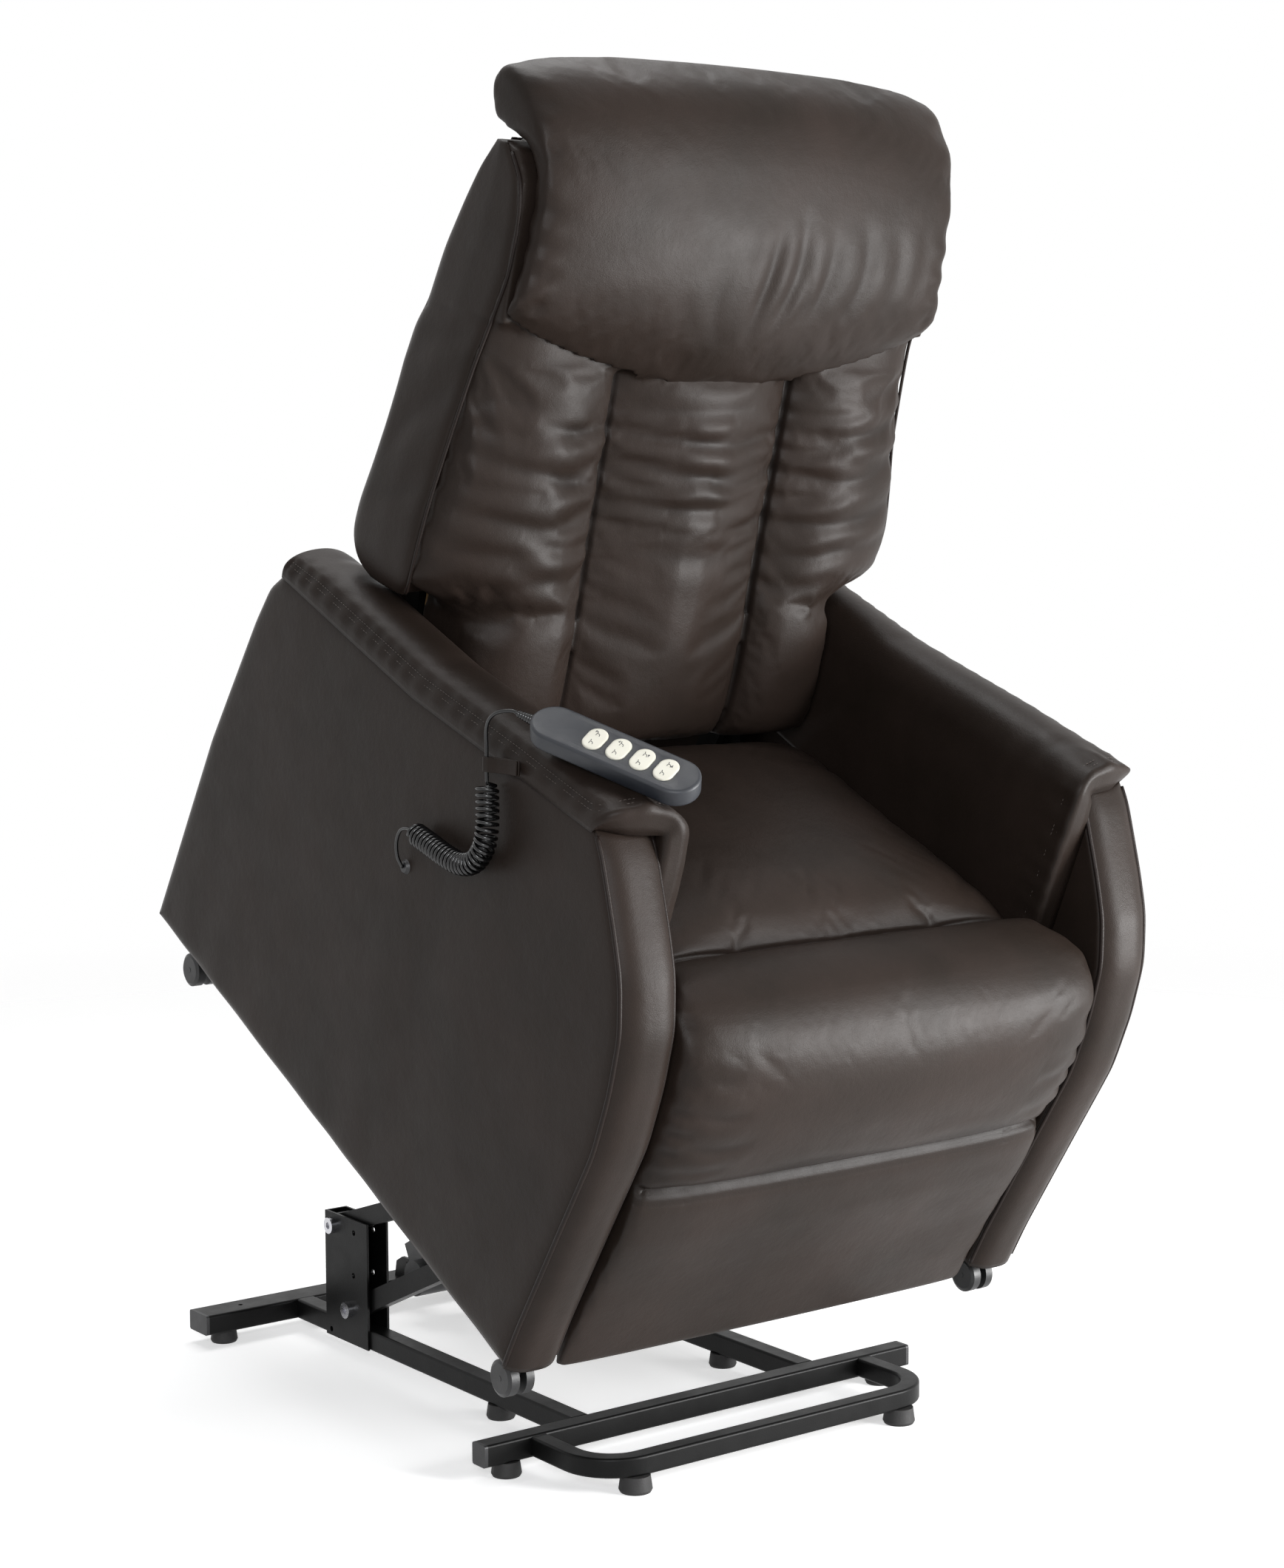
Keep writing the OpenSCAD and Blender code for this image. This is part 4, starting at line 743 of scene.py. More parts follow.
def seat_relief(p, n):
    up = np.clip(n[:, 2] * 1.6, 0, 1)
    xy = p[:, :2]
    h = np.zeros(len(p))
    for x0, y0, x1, y1, w, d in SEAT_FOLDS:
        h += fold(xy, [(x0, y0), ((x0 + x1) / 2, (y0 + y1) / 2 + 7), (x1, y1)], w, d, 0.4)
    side = np.abs(p[:, 0]) - (SEAT_W / 2 - 20)
    h += 0.5 * np.sin(p[:, 1] / 9.5) * bell(side, 12) * (1 + np.sin(p[:, 1] / 41))
    front = [(-255, 99), (255, 99)]
    return up * (h + groove(xy, front, 2.2, 2.4))


SEAT_FOLDS = [(-236, 488, -90, 470, 11, 1.6), (60, 492, 226, 462, 12, 1.5),
              (-240, 420, -150, 432, 13, 1.1), (242, 404, 150, 420, 13, 1.2),
              (-246, 160, -190, 130, 9, 1.2), (246, 170, 186, 128, 9, 1.3),
              (-120, 505, 110, 500, 10, 1.2)]
puff(seat, 10, pin=lambda p, n: (p[:, 2] < SEAT_BOTTOM + 6) * 1.0, frames=12, pressure=3)
emboss(seat, seat_relief)
place(seat, CHAIR, "seat_body", "brown_leather", "seat_cushion")

# ---- Backrest: cushion with three channels -----------------------------------

CUSHION_BACK, PLANE, CHANNEL_X, CUSHION_HALF = -70.4, -190.0, 120.0, 258.0
LOW_V, TOP_V, CHANNEL_CROWN, UNDER_PILLOW = 18.0, 690.0, 36.0, 34.0
SEAM_END_U, SEAM_U, OUTER_U, CHANNEL_TOP = -128.0, -158.0, -156.0, 520.0
PILLOW_HALF, BACK_HALF = 294.0, 290.0
WING_ROWS = [
    [688, -150, -124, 0], [656, -184, -97, 2], [616, -189.6, -75, 2], [560, -186, -50, 2],
    [504, -166, -34, 2], [454, -158, -20, 10], [380, -150, -18, 20], [314, -148, -15, 32],
    [270, -147, -8, 38], [232, -141, -2, 38], [206, -130, -12, 33], [193, -112, -30, 24]]


def flare(v):
    """Half width of the back at its piping, and the piping's own depth, at height v."""
    table = dense(WING_ROWS, 200, 5, slice(0, 3))[::-1]
    half = BACK_HALF + np.interp(v, table[:, 0], table[:, 3])
    return mix(CUSHION_HALF, half - 2.0, ramp(v, 172, 222)), np.interp(v, table[:, 0], table[:, 1])


def pillow_low(x):
    """Height of the pillow's lower edge."""
    return 452 + 54 * np.clip(1.2 * (x / PILLOW_HALF) ** 2, 0, 1)


def back_grid(n, cols):
    v = np.linspace(TOP_V, LOW_V, n)
    s = steps(cols, 1.7)
    a = np.linspace(0, 1, cols) ** 1.2
    outer_arch = (1 - np.abs(2 * a ** 0.8 - 1) ** 2.6) ** 0.8
    half, rim = flare(v)
    half, rim = half[:, None], rim[:, None]
    t = np.clip(2 * (v - LOW_V) / (CHANNEL_TOP - LOW_V) - 1, -1, 1)[:, None]
    body = crown(np.where(t > 0, t * 0.93, t))
    seam_u = mix(SEAM_END_U, SEAM_U, body)

    def side(sign):
        x = sign * (CHANNEL_X + (half - CHANNEL_X) * a[None])
        edge = mix(mix(SEAM_END_U, OUTER_U, body), rim + 2, ramp(v[:, None], 150, 226))
        base = mix(seam_u, edge, a[None] ** 1.6)
        return x, base - CHANNEL_CROWN * outer_arch[None] * body

    x1, u1 = side(-1)
    x3, u3 = side(1)
    x2 = np.broadcast_to(CHANNEL_X * s[None, 1:-1], (n, cols - 2))
    u2 = seam_u - CHANNEL_CROWN * channel(s[None, 1:-1]) * body
    x = np.concatenate([x1[:, ::-1], x2, x3], 1)
    u = np.concatenate([u1[:, ::-1], u2, u3], 1)
    vv = np.broadcast_to(v[:, None], x.shape)
    under = ramp(vv - pillow_low(x), -UNDER_PILLOW, 0)
    top = np.interp(vv, [600, 655, 686, 691], [PLANE + 2.5, PLANE + 2.5, -166, -140])
    limit = mix(-240, top, under)
    u = np.where(vv > pillow_low(x), top, np.maximum(u, limit))
    rear = np.interp(vv, [600, 640, 691], [CUSHION_BACK, -88, -116])
    rear = np.where(np.abs(x) > CUSHION_HALF, np.minimum(rim + 10, rear), rear)
    return np.stack([x, u, vv], -1), np.stack([x, rear, vv], -1)


back = quilt("back_cushion_leather", *back_grid(150, 56))

# Creases sag across each channel: from x to x, height, sag, rise of the far end, width, depth
BACK_SAGS = [
    (-116, 60, 424, 8, 3, 10, 2.0), (-124, 30, 399, 10, -4, 9, 3.0), (-36, 124, 388, 10, 8, 9, 2.8),
    (-124, 124, 364, 15, -3, 10, 3.4), (-124, -14, 346, 7, -8, 7, 2.6), (6, 126, 341, 9, 8, 8, 3.2),
    (-124, 100, 318, 11, 6, 10, 2.8), (-124, -40, 297, 5, -6, 8, 2.0), (26, 124, 290, 7, 6, 9, 2.4),
    (-90, 110, 262, 8, 0, 13, 1.6), (60, 124, 236, 3, 5, 9, 1.3),
    (-308, -116, 432, 8, -12, 12, 2.0), (-232, -116, 408, 7, -8, 9, 2.8), (-306, -150, 397, 8, 2, 10, 2.2),
    (-308, -116, 372, 14, -14, 11, 3.4), (-210, -116, 349, 5, -12, 8, 3.0), (-312, -160, 338, 8, -2, 10, 2.6),
    (-310, -116, 312, 13, -16, 11, 3.2), (-232, -114, 283, 8, -16, 10, 2.8), (-312, -176, 268, 8, 0, 12, 2.0),
    (-240, -114, 246, 8, -14, 12, 2.2), (-300, -180, 226, 5, 4, 10, 1.4), (-214, -114, 204, 6, -12, 12, 1.6),
    (116, 308, 440, 6, 12, 11, 1.8), (114, 220, 418, 5, 6, 8, 2.6), (116, 308, 396, 9, 16, 10, 3.0),
    (114, 206, 373, 5, 10, 8, 3.0), (180, 310, 366, 6, 6, 9, 2.4), (114, 310, 345, 12, 18, 10, 3.4),
    (114, 212, 318, 6, 12, 8, 2.8), (114, 310, 292, 12, 20, 11, 3.0), (190, 312, 262, 6, 6, 10, 2.0),
    (114, 240, 252, 9, 16, 11, 2.4), (114, 220, 214, 7, 14, 12, 1.8)]
BACK_FOLDS = []
for x0, x1, v0, sag, rise, w, d in BACK_SAGS:
    share = np.linspace(0, 1, 9)
    bow = v0 + rise * share - sag * (1 - (2 * share - 1) ** 2) + 1.6 * np.sin(9 * share + v0)
    BACK_FOLDS.append((np.column_stack([mix(x0, x1, share), bow]), w, d))


def back_relief(p, n):
    face = np.clip(-n[:, 1] * 2, 0, 1) * np.clip((pillow_low(p[:, 0]) - p[:, 2]) / 12, 0, 1)
    xv = p[:, [0, 2]]
    h = folds(xv, BACK_FOLDS, 0.55, 0.45)
    pucker = np.sin(p[:, 2] / 4.6 + 2.6 * np.sin(p[:, 2] / 31)) * 1.0
    for x in (-CHANNEL_X, CHANNEL_X):
        h += pucker * bell(np.abs(p[:, 0] - x) - 8, 7) * bell(p[:, 2] - 330, 110)
        h += groove(xv, [(x, 20), (x, 460)], 3.0, 5.0)
    rim = np.interp(p[:, 2], FLARE_V, FLARE_HALF)
    h += 0.5 * pucker * bell(np.abs(p[:, 0]) - rim + 9, 7)
    return face * h


FLARE_V = np.linspace(LOW_V, TOP_V, 90)
FLARE_HALF = flare(FLARE_V)[0]
puff(back, 9, pin=lambda p, n: np.maximum.reduce([
    bell(np.abs(np.abs(p[:, 0]) - CHANNEL_X), 7), (p[:, 1] > -100) * 1.0,
    (p[:, 2] > 470) * 1.0]), frames=12, pressure=3, grow=0.010)
emboss(back, back_relief)
place(back, BACK, "backrest", "brown_leather", "back_cushion")

# ---- Head pillow -------------------------------------------------------------

P_FRONT = [[-183, 444], [-205, 462], [-226, 505], [-235, 570], [-233, 640], [-222, 700],
           [-198, 745], [-160, 778], [-117, 788], [-100, 765], [-97, 735]]
P_FRONT_END = [[-189, 503], [-195, 508], [-201, 530], [-203, 580], [-203, 630], [-198, 676],
               [-180, 711], [-150, 740], [-122, 755], [-103, 750], [-99, 738]]
P_TAPER = [0, 0, 4, 11, 15, 15, 11, 8, 6, 6, 6]
P_BACK = [[-186, 452], [-189, 470], [-190.6, 507], [-190.6, 570], [-190.6, 640],
          [-191.5, 661], [-169, 688], [-129, 702], [-112, 708], [-104, 715], [-101, 724]]
P_BACK_END = [[-190.6, 506], [-190.6, 512], [-190.6, 530], [-190.6, 570], [-190.6, 640],
              [-191.5, 661], [-169, 688], [-129, 702], [-112, 708], [-104, 715], [-102, 722]]


def pillow_grid(face, n, m):
    ends, mid = (P_FRONT_END, P_FRONT) if face > 0 else (P_BACK_END, P_BACK)
    rows = np.hstack([mid, ends, np.array(P_TAPER)[:, None]])
    both = dense(rows, n, 14 if face > 0 else 1, slice(0, 2))
    taper, both = both[:, 4:], both[:, :4]
    s = steps(m)[::-1]
    share = np.broadcast_to(crown(s) * (1 - 0.35 * s * s), (n, m))
    low = np.clip((530 - both[:, 1:2]) / 60, 0, 1) * (both[:, :1] < -150)
    share = mix(share, np.clip(1 - 1.2 * s * s, 0, 1)[None], low)
    p = mix(both[:, None, 2:], both[:, None, :2], share[..., None])
    corner = np.clip((np.abs(s) - 0.86) / 0.14, 0, 1) ** 2
    p[..., 1] += 20 * corner[None] * np.clip((540 - both[:, 3:4]) / 40, 0, 1)
    x = s * (PILLOW_HALF - taper - (0 if face > 0 else 3))
    return np.concatenate([x[..., None], p], -1)


pillow = quilt("head_pillow_leather", pillow_grid(1, 120, 120), pillow_grid(-1, 120, 120))
PILLOW_FOLDS = [
    ([(18, 640), (12, 590), (2, 540), (0, 500)], 9, 2.4),
    ([(46, 660), (52, 610), (44, 560), (20, 512)], 10, 2.2),
    ([(92, 640), (96, 590), (78, 540), (60, 508)], 10, 1.7),
    ([(132, 655), (150, 600), (140, 556), (112, 520)], 11, 1.6),
    ([(-42, 600), (-60, 560), (-50, 520), (-20, 492)], 12, 1.4),
    ([(188, 640), (200, 590), (190, 540)], 13, 1.2), ([(228, 650), (236, 600), (222, 545)], 12, 1.1),
    ([(64, 590), (66, 545), (40, 500)], 6, 1.2), ([(-96, 560), (-80, 522), (-40, 484)], 13, 1.0)]


def pillow_relief(p, n):
    face = np.clip(-n[:, 1] * 1.8, 0, 1)
    h = face * folds(p[:, [0, 2]], PILLOW_FOLDS, 0.5, 0.9)
    rim = np.abs(p[:, 0]) - 270
    wave = np.sin(p[:, 2] / 6.5 + 1.7 * np.sin(p[:, 2] / 31))
    return h + 1.3 * wave * bell(rim, 15) * (p[:, 1] < -110)


puff(pillow, 5, pin=lambda p, n: (n[:, 1] > 0.3) * 1.0, frames=10, pressure=2.5, grow=0.002)
emboss(pillow, pillow_relief)
place(pillow, BACK, "backrest", "brown_leather", "head_pillow")

# ---- Wings of the back, with piping, and the rear cover ----------------------

WING_IN = CUSHION_HALF + SOFT_GAP


def wing_line(r, m):
    w = BACK_HALF + r[3]
    line = [[WING_IN, r[1] + 16], [w - 14, r[1] + 12], [w - 4, r[1] + 3], [w, mix(r[1], r[2], 0.1)],
            [w + 1, mix(r[1], r[2], 0.5)], [w - 1.5, mix(r[1], r[2], 0.9)], [w - 10, r[2]]]
    return dense(line, m, 2)


def wing_mesh(rows, cols):
    outer = [[[p[0], p[1], r[0]] for p in wing_line(r, cols)] for r in rows]
    inner = [[[WING_IN, u, r[0]] for u in np.linspace(r[1] + 17, r[2] - 1, cols)] for r in rows]
    return quilt("back_wing_right_leather", np.array(outer), np.array(inner))


def wing_relief(p, n):
    vu = p[:, [2, 1]]
    h = groove(vu, [(508, -166), (496, -34)], 2.4, 1.8) * (p[:, 0] > 284)
    h += 0.7 * np.sin(p[:, 2] / 8 + p[:, 1] / 23) * bell(p[:, 2] - 470, 40) * (n[:, 0] > 0.4)
    h += fold(vu, [(430, -150), (400, -90), (340, -40)], 16, 1.6) * (n[:, 0] > 0.4)
    return h + fold(vu, [(330, -146), (300, -90), (286, -30)], 14, 1.3) * (n[:, 0] > 0.4)


def wing_piping(rows):
    front_line = [[BACK_HALF + r[3] - 1.6, r[1] - 0.4, r[0]] for r in rows[2:-2]]
    return [tube_mesh(soften(front_line, 3), 1.9, 10)]


wing_rows = dense(WING_ROWS, 90, 5, slice(0, 3))
wing = wing_mesh(wing_rows, 36)
emboss(wing, wing_relief)
piping_parts = wing_piping(wing_rows)
wing_left = twin(wing, "back_wing_left_leather")
place(wing, BACK, "backrest", "brown_leather", "back_wings")
place(wing_left, BACK @ MIRROR, "backrest", "brown_leather")
for piece_name, parts in (("back_piping_right", piping_parts), ("back_piping_left", mirrored(piping_parts))):
    piping = joined(piece_name, parts, BACK)
    paint(piping, SHADED_PIPING)
    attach(piping, "backrest")

COVER_IN = [[64, -33], [500, -33], [560, -47], [600, -60], [640, -80], [690, -108]]
COVER_OUT = [[64, -12], [90, 6], [193, 10], [314, 4], [454, -4], [504, -18], [587, -44],
             [650, -76], [690, -103]]


def cover_grid():
    v = np.linspace(688, 64, 100)
    s = steps(70)[::-1]
    outer = soften(np.interp(v, *zip(*COVER_OUT))[:, None], 10)
    inner = np.interp(v, *zip(*COVER_IN))
    vv, ss = np.meshgrid(v, s, indexing="ij")
    x = ss * (CUSHION_HALF - 1)
    return (np.stack([x, outer + 5 * crown(ss) - 8, vv], -1),
            np.stack([x, np.broadcast_to(inner[:, None], x.shape), vv], -1))


def cover_relief(p, n):
    xv = p[:, [0, 2]]
    rear = np.clip(n[:, 1] * 2, 0, 1)
    h = groove(xv, [(-150, 66), (-150, 688)], 1.8, 1.5) + groove(xv, [(150, 66), (150, 688)], 1.8, 1.5)
    h += fold(xv, [(-140, 470), (0, 455), (140, 476)], 18, 1.4)
    h += fold(xv, [(-120, 240), (20, 226), (140, 250)], 16, 1.1)
    h += 0.5 * np.sin(p[:, 2] / 9) * (bell(np.abs(p[:, 0]) - 150, 12) + bell(np.abs(p[:, 0]) - 244, 9))
    return rear * h


cover = quilt("back_cover_leather", *cover_grid())
emboss(cover, cover_relief)
place(cover, BACK, "backrest", "brown_leather", "back_cover")

# ---- Arms --------------------------------------------------------------------

BODY_W, BOX_W, SKIRT_Z, FACING_T = 716.0, 65.0, 52.0, 14.0
OUT_X = BODY_W / 2
BOX_IN = OUT_X - BOX_W
ARM_FRONT = [[2, 52], [0, 102], [-5, 156], [-14, 250], [-24, 351], [-19, 419], [-7, 481],
             [17, 530], [46, 566], [99, 625], [117, 638]]
ARM_BACK = [[745, 573], [769, 541], [782, 491], [813, 314], [837, 52]]


def arm_sides(n, m):
    """The outline of an arm box as a grid of rows upwards and columns rearwards."""
    left = dense(ARM_FRONT, n, 6)
    right = dense(ARM_BACK, n, 2)[::-1]
    low = np.linspace(left[0], right[0], m)
    high = dense(ARM_TOP, m, 4)
    a, b = np.meshgrid(np.linspace(0, 1, m), np.linspace(0, 1, n))
    a, b = a[..., None], b[..., None]
    return ((1 - b) * low[None] + b * high[None] + (1 - a) * left[:, None] + a * right[:, None]
            - (1 - a) * (1 - b) * left[0] - a * (1 - b) * right[0]
            - (1 - a) * b * left[-1] - a * b * right[-1]), a[..., 0], b[..., 0]


def box_mesh():
    n, m = 90, 110
    yz, a, b = arm_sides(n, m)
    rim = np.minimum.reduce([a * 700, (1 - a) * 700, b * 560, (1 - b) * 560])
    soft = 4.0 * np.exp(-rim / 5.0)
    wave = 1.0 * np.sin(yz[..., 0] / 150 + 1) * np.sin(yz[..., 1] / 130) * (1 - np.exp(-rim / 40))
    out = np.concatenate([(OUT_X - soft + 1.2 * (1 - np.exp(-rim / 60)) + wave * 0.8)[..., None], yz], -1)
    inn = np.concatenate([(BOX_IN + 0.6 * np.exp(-rim / 5.0))[..., None], yz], -1)
    return quilt("arm_box_right_leather", out, inn, 4)


def box_relief(p, n):
    outer = np.clip(n[:, 0], 0, 1)
    yz = p[:, 1:]
    h = fold(yz, [(250, 60), (300, 300), (330, 560)], 40, 0.9, 0.6)
    low = np.clip((140 - (p[:, 2] - SKIRT_Z)) / 140, 0, 1)
    h += 0.5 * np.sin(p[:, 1] / 17 + np.sin(p[:, 1] / 60)) * low
    return outer * h


arm_box = box_mesh()
emboss(arm_box, box_relief)
arm_box_left = twin(arm_box, "arm_box_left_leather")
place(arm_box, CHAIR, "seat_body", "brown_leather", "arm_box_right")
place(arm_box_left, CHAIR @ MIRROR, "seat_body", "brown_leather", "arm_box_left")


def facing_parts():
    line = dense(ARM_FRONT[::-1], 110, 6)
    s = steps(24, 1.6)
    bulge = FACING_T * (0.18 + 0.82 * (1 - np.abs(s) ** 3))
    x = mix(BOX_IN, OUT_X, (s + 1) / 2)
    front_face = np.array([[[x[j], p[0] - 0.6 - bulge[j], p[1]] for j in range(len(s))] for p in line])
    rear_face = np.array([[[x[j], p[0] - 0.6, p[1]] for j in range(len(s))] for p in line])
    edges = []
    for at in (BOX_IN + 1.2, OUT_X + 0.6):
        path = [[at, p[0] - 2.6, p[1]] for p in line[1:-1]]
        edges.append(tube_mesh(path, 2.6, 10, first=[1, 0, 0]))
    return front_face, rear_face, edges


def facing_relief(p, n):
    mid = np.abs(p[:, 0] - (BOX_IN + OUT_X) / 2) / (BOX_W / 2)
    wave = np.sin(p[:, 2] / 5.5 + 1.6 * np.sin(p[:, 2] / 47))
    return -n[:, 1] * 0.5 * wave * np.clip(mid - 0.35, 0, 1) ** 2


face_a, face_b, face_edges = facing_parts()
facing = quilt("arm_facing_right_leather", face_a, face_b)
emboss(facing, facing_relief)
facing_left = twin(facing, "arm_facing_left_leather")
place(facing, CHAIR, "seat_body", "brown_leather", "arm_facings")
place(facing_left, CHAIR @ MIRROR, "seat_body", "brown_leather")
for piece_name, parts in (("arm_piping_right", face_edges), ("arm_piping_left", mirrored(face_edges))):
    piping = joined(piece_name, parts, CHAIR)
    paint(piping, SHADED_PIPING)
    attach(piping, "seat_body")

# ---- Arm pads with their double stitched welt --------------------------------

PAD_IN, PAD_REAR, PAD_BOTTOM, WELT_X = SEAT_W / 2, 744.0, 442.0, OUT_X + 5
PAD_SWELL = ([0, 0.25, 0.9, 1], [0.86, 1, 1, 0.8])
PAD_FRONT = [117, 112, 106, 100, 97, 95, 92, 86, 80, 68]
PAD_START, SEAM_ROUND = ARM_TOP[0][0], 16


def pad_outer(y, t):
    z, c = seam_z(y), PAD_CROWN * np.interp(t, *PAD_SWELL)
    return [[OUT_X + 2, z - 4], [WELT_X, z + 8], [WELT_X - 4, z + 0.55 * c],
            [WELT_X - 18, z + 0.84 * c], [mix(PAD_IN, WELT_X, 0.62), z + 0.98 * c],
            [mix(PAD_IN, WELT_X, 0.42), z + c], [mix(PAD_IN, WELT_X, 0.2), z + 0.78 * c],
            [PAD_IN + 4, z + 0.3 * c], [PAD_IN, z - 40], [PAD_IN, PAD_BOTTOM]]


def pad_inner(y):
    z, out, inn = seam_z(y) + SOFT_GAP, OUT_X + SOFT_GAP, BOX_IN - SOFT_GAP
    return [[out, z], [mix(inn, out, 0.9), z], [mix(inn, out, 0.75), z], [mix(inn, out, 0.6), z],
            [mix(inn, out, 0.45), z], [mix(inn, out, 0.3), z], [inn, z], [inn, z - 8],
            [inn, z - 40], [inn, PAD_BOTTOM]]


def pad_grid(outer, n=120, m=64):
    """Rows along the arm, columns over it, from the control lines of the CAD pad."""
    t = (1 - (1 - np.linspace(0, 1, n)) ** 1.5)
    key = np.array(pad_outer(300, 0.3), float)
    run = run_of(key)
    at = np.linspace(0, run[-1], m)
    grid = []
    for share in t:
        line = []
        for j in range(len(PAD_FRONT)):
            y = mix(PAD_FRONT[j], PAD_REAR, share)
            at_y = max(y, PAD_START)
            p = (pad_outer(at_y, share) if outer else pad_inner(at_y))[j]
            line.append([p[0], y, p[1] + (PAD_START - min(y, PAD_START)) * (0 if j > 7 else 0.1)])
        grid.append(soften(at_run(at, run, np.array(line)), 7 if outer else 1))
    return np.array(grid)


pad_a, pad_b = pad_grid(True), pad_grid(False)
pad = quilt("arm_pad_right_leather", pad_a, pad_b)


def sample(grid, rows, cols):
    """Points and outward normals of a grid at fractional rows and columns."""
    grid = np.asarray(grid, float)
    n, m = grid.shape[:2]
    across_way = np.gradient(grid, axis=1)
    along_way = np.gradient(grid, axis=0)
    normal = np.cross(along_way, across_way)
    normal /= np.maximum(np.linalg.norm(normal, axis=2), 1e-9)[..., None]
    both = np.concatenate([grid, normal], 2)
    r = np.clip(np.asarray(rows, float), 0, n - 1.001)
    c = np.clip(np.asarray(cols, float), 0, m - 1.001)
    i, j = r.astype(int), c.astype(int)
    f, g = (r - i)[:, None], (c - j)[:, None]
    out = ((1 - f) * (1 - g) * both[i, j] + f * (1 - g) * both[i + 1, j]
           + (1 - f) * g * both[i, j + 1] + f * g * both[i + 1, j + 1])
    return out[:, :3], out[:, 3:]


def seam_on_pad(grid, inset, margin):
    """A seam along the welt, round the front corner and down the inner front edge."""
    n, m = grid.shape[:2]
    y = grid[:, m // 2, 1]
    run = run_of(grid[n // 2])
    back_rows = np.interp(np.linspace(y[0] + inset + SEAM_ROUND, PAD_REAR - 6, 260), y, np.arange(n))
    col = np.interp(margin, run, np.arange(m))
    row = np.interp(y[0] + inset, y, np.arange(n))
    corner = [(np.interp(y[0] + inset + SEAM_ROUND * (1 - math.sin(a)), y, np.arange(n)),
               np.interp(margin + SEAM_ROUND * (1 - math.cos(a)), run, np.arange(m)))
              for a in np.linspace(0, math.pi / 2, 14)]
    cols = np.interp(np.linspace(margin + SEAM_ROUND + 2, run[-1] - 3, 150), run, np.arange(m))
    rows_all = np.concatenate([back_rows[::-1], [c[0] for c in corner], np.full(len(cols), row)])
    cols_all = np.concatenate([np.full(len(back_rows), col), [c[1] for c in corner], cols])
    return sample(grid, rows_all, cols_all)


WELT_SEAM, WELT_SEAM_N = seam_on_pad(pad_a, 13.0, 22.0)
WELT_INNER, WELT_INNER_N = seam_on_pad(pad_a, 19.5, 28.5)
if WELT_SEAM_N[100] @ np.array([1.0, 0, 0.2]) < 0:
    WELT_SEAM_N, WELT_INNER_N = -WELT_SEAM_N, -WELT_INNER_N


def pad_relief(p, n):
    top = np.clip(n[:, 2] * 1.5 + np.clip(-n[:, 0], 0, 1) + np.clip(n[:, 0], 0, 1), 0, 1)
    outer, _ = distance(p, WELT_SEAM[::4])
    inner, share = distance(p, WELT_INNER[::4])
    h = -3.4 * bell(outer, 2.3) - 2.2 * bell(inner, 1.9)
    run = share * 1000
    pucker = np.sin(run / 5.0 + 1.5 * np.sin(run / 37)) * bell(inner - 8, 9)
    h += 0.8 * pucker
    front = bell(p[:, 1] - 112, 26) * np.clip((p[:, 2] - 560) / 60, 0, 1)
    h += front * 1.4 * np.sin(p[:, 0] / 6.5 + p[:, 1] / 30)
    return top * (h + folds(p[:, [1, 0]], PAD_FOLDS))


PAD_FOLDS = [
    ([(150, 268), (160, 290), (158, 312)], 9, 1.3), ([(180, 266), (200, 284), (206, 300)], 10, 1.0),
    ([(640, 268), (650, 300), (652, 330)], 14, 1.2), ([(700, 270), (712, 300), (700, 336)], 12, 1.3),
    ([(420, 300), (440, 312), (470, 306)], 16, 0.8)]
emboss(pad, pad_relief)
pad_left = twin(pad, "arm_pad_left_leather")
place(pad, CHAIR, "seat_body", "brown_leather", "arm_pad_right")
place(pad_left, CHAIR @ MIRROR, "seat_body", "brown_leather", "arm_pad_left")
welt_stitches = (stitches(WELT_SEAM, WELT_SEAM_N, lift_by=-1.6)
                 + stitches(WELT_INNER, WELT_INNER_N, lift_by=-1.0))
for piece_name, parts in (("arm_stitching_right", welt_stitches),
                          ("arm_stitching_left", mirrored(welt_stitches))):
    thread = joined(piece_name, parts, CHAIR)
    paint(thread, THREAD)
    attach(thread, "seat_body")

# ---- Rear panel of the seat body ---------------------------------------------


def rear_grid():
    half = BOX_IN - SOFT_GAP
    s = steps(90)
    b = np.linspace(0, 1, 60)
    bb, ss = np.meshgrid(b, s, indexing="ij")
    z = mix(54, 420, bb)
    soft = 3.5 * np.maximum(np.exp(-(1 - np.abs(ss)) * half / 6), np.exp(-np.minimum(bb, 1 - bb) * 366 / 5))
    y = mix(837, 796.5, bb)
    return (np.stack([half * ss, y - soft + 0.8, z], -1),
            np.stack([half * ss, mix(825, 784, bb) + 1, z], -1))


def rear_relief(p, n):
    xz = p[:, [0, 2]]
    rear = np.clip(n[:, 1] * 2, 0, 1)
    h = groove(xz, [(-110, 56), (-110, 418)], 1.8, 1.6) + groove(xz, [(110, 56), (110, 418)], 1.8, 1.6)
    return rear * (h + 0.5 * np.sin(p[:, 2] / 8) * bell(np.abs(p[:, 0]) - 110, 11))


rear = quilt("rear_panel_leather", *rear_grid())
emboss(rear, rear_relief)
place(rear, CHAIR, "seat_body", "brown_leather", "rear_panel")

# ---- Legrest pad: roll, tuck line and apron ----------------------------------

LEG_W = 566.0


def leg_grid():
    rows = dense(LEG_ROWS, 170, 5, slice(0, 2))
    s = steps(96)
    r = rows[:, None, :]
    roll = (1 - crown(s))[None, :]
    shallow = np.where(rows[:, 1] < 290, 0.25, 0.5)[:, None]
    x = s[None, :] * (LEG_W / 2 + r[..., 4])
    swell = np.where(r[..., 1] < ROLL_TOP, LEG_SWELL * (1 - s * s)[None], 0)
    lead = mix(r[..., 0], r[..., 2], shallow * roll) - swell
    high = mix(r[..., 1], r[..., 3], shallow * roll * 0.5)
    x = np.broadcast_to(x, lead.shape)
    return (np.stack([x, lead, high], -1),
            np.stack([x, np.broadcast_to(r[..., 2], x.shape), np.broadcast_to(r[..., 3], x.shape)], -1))


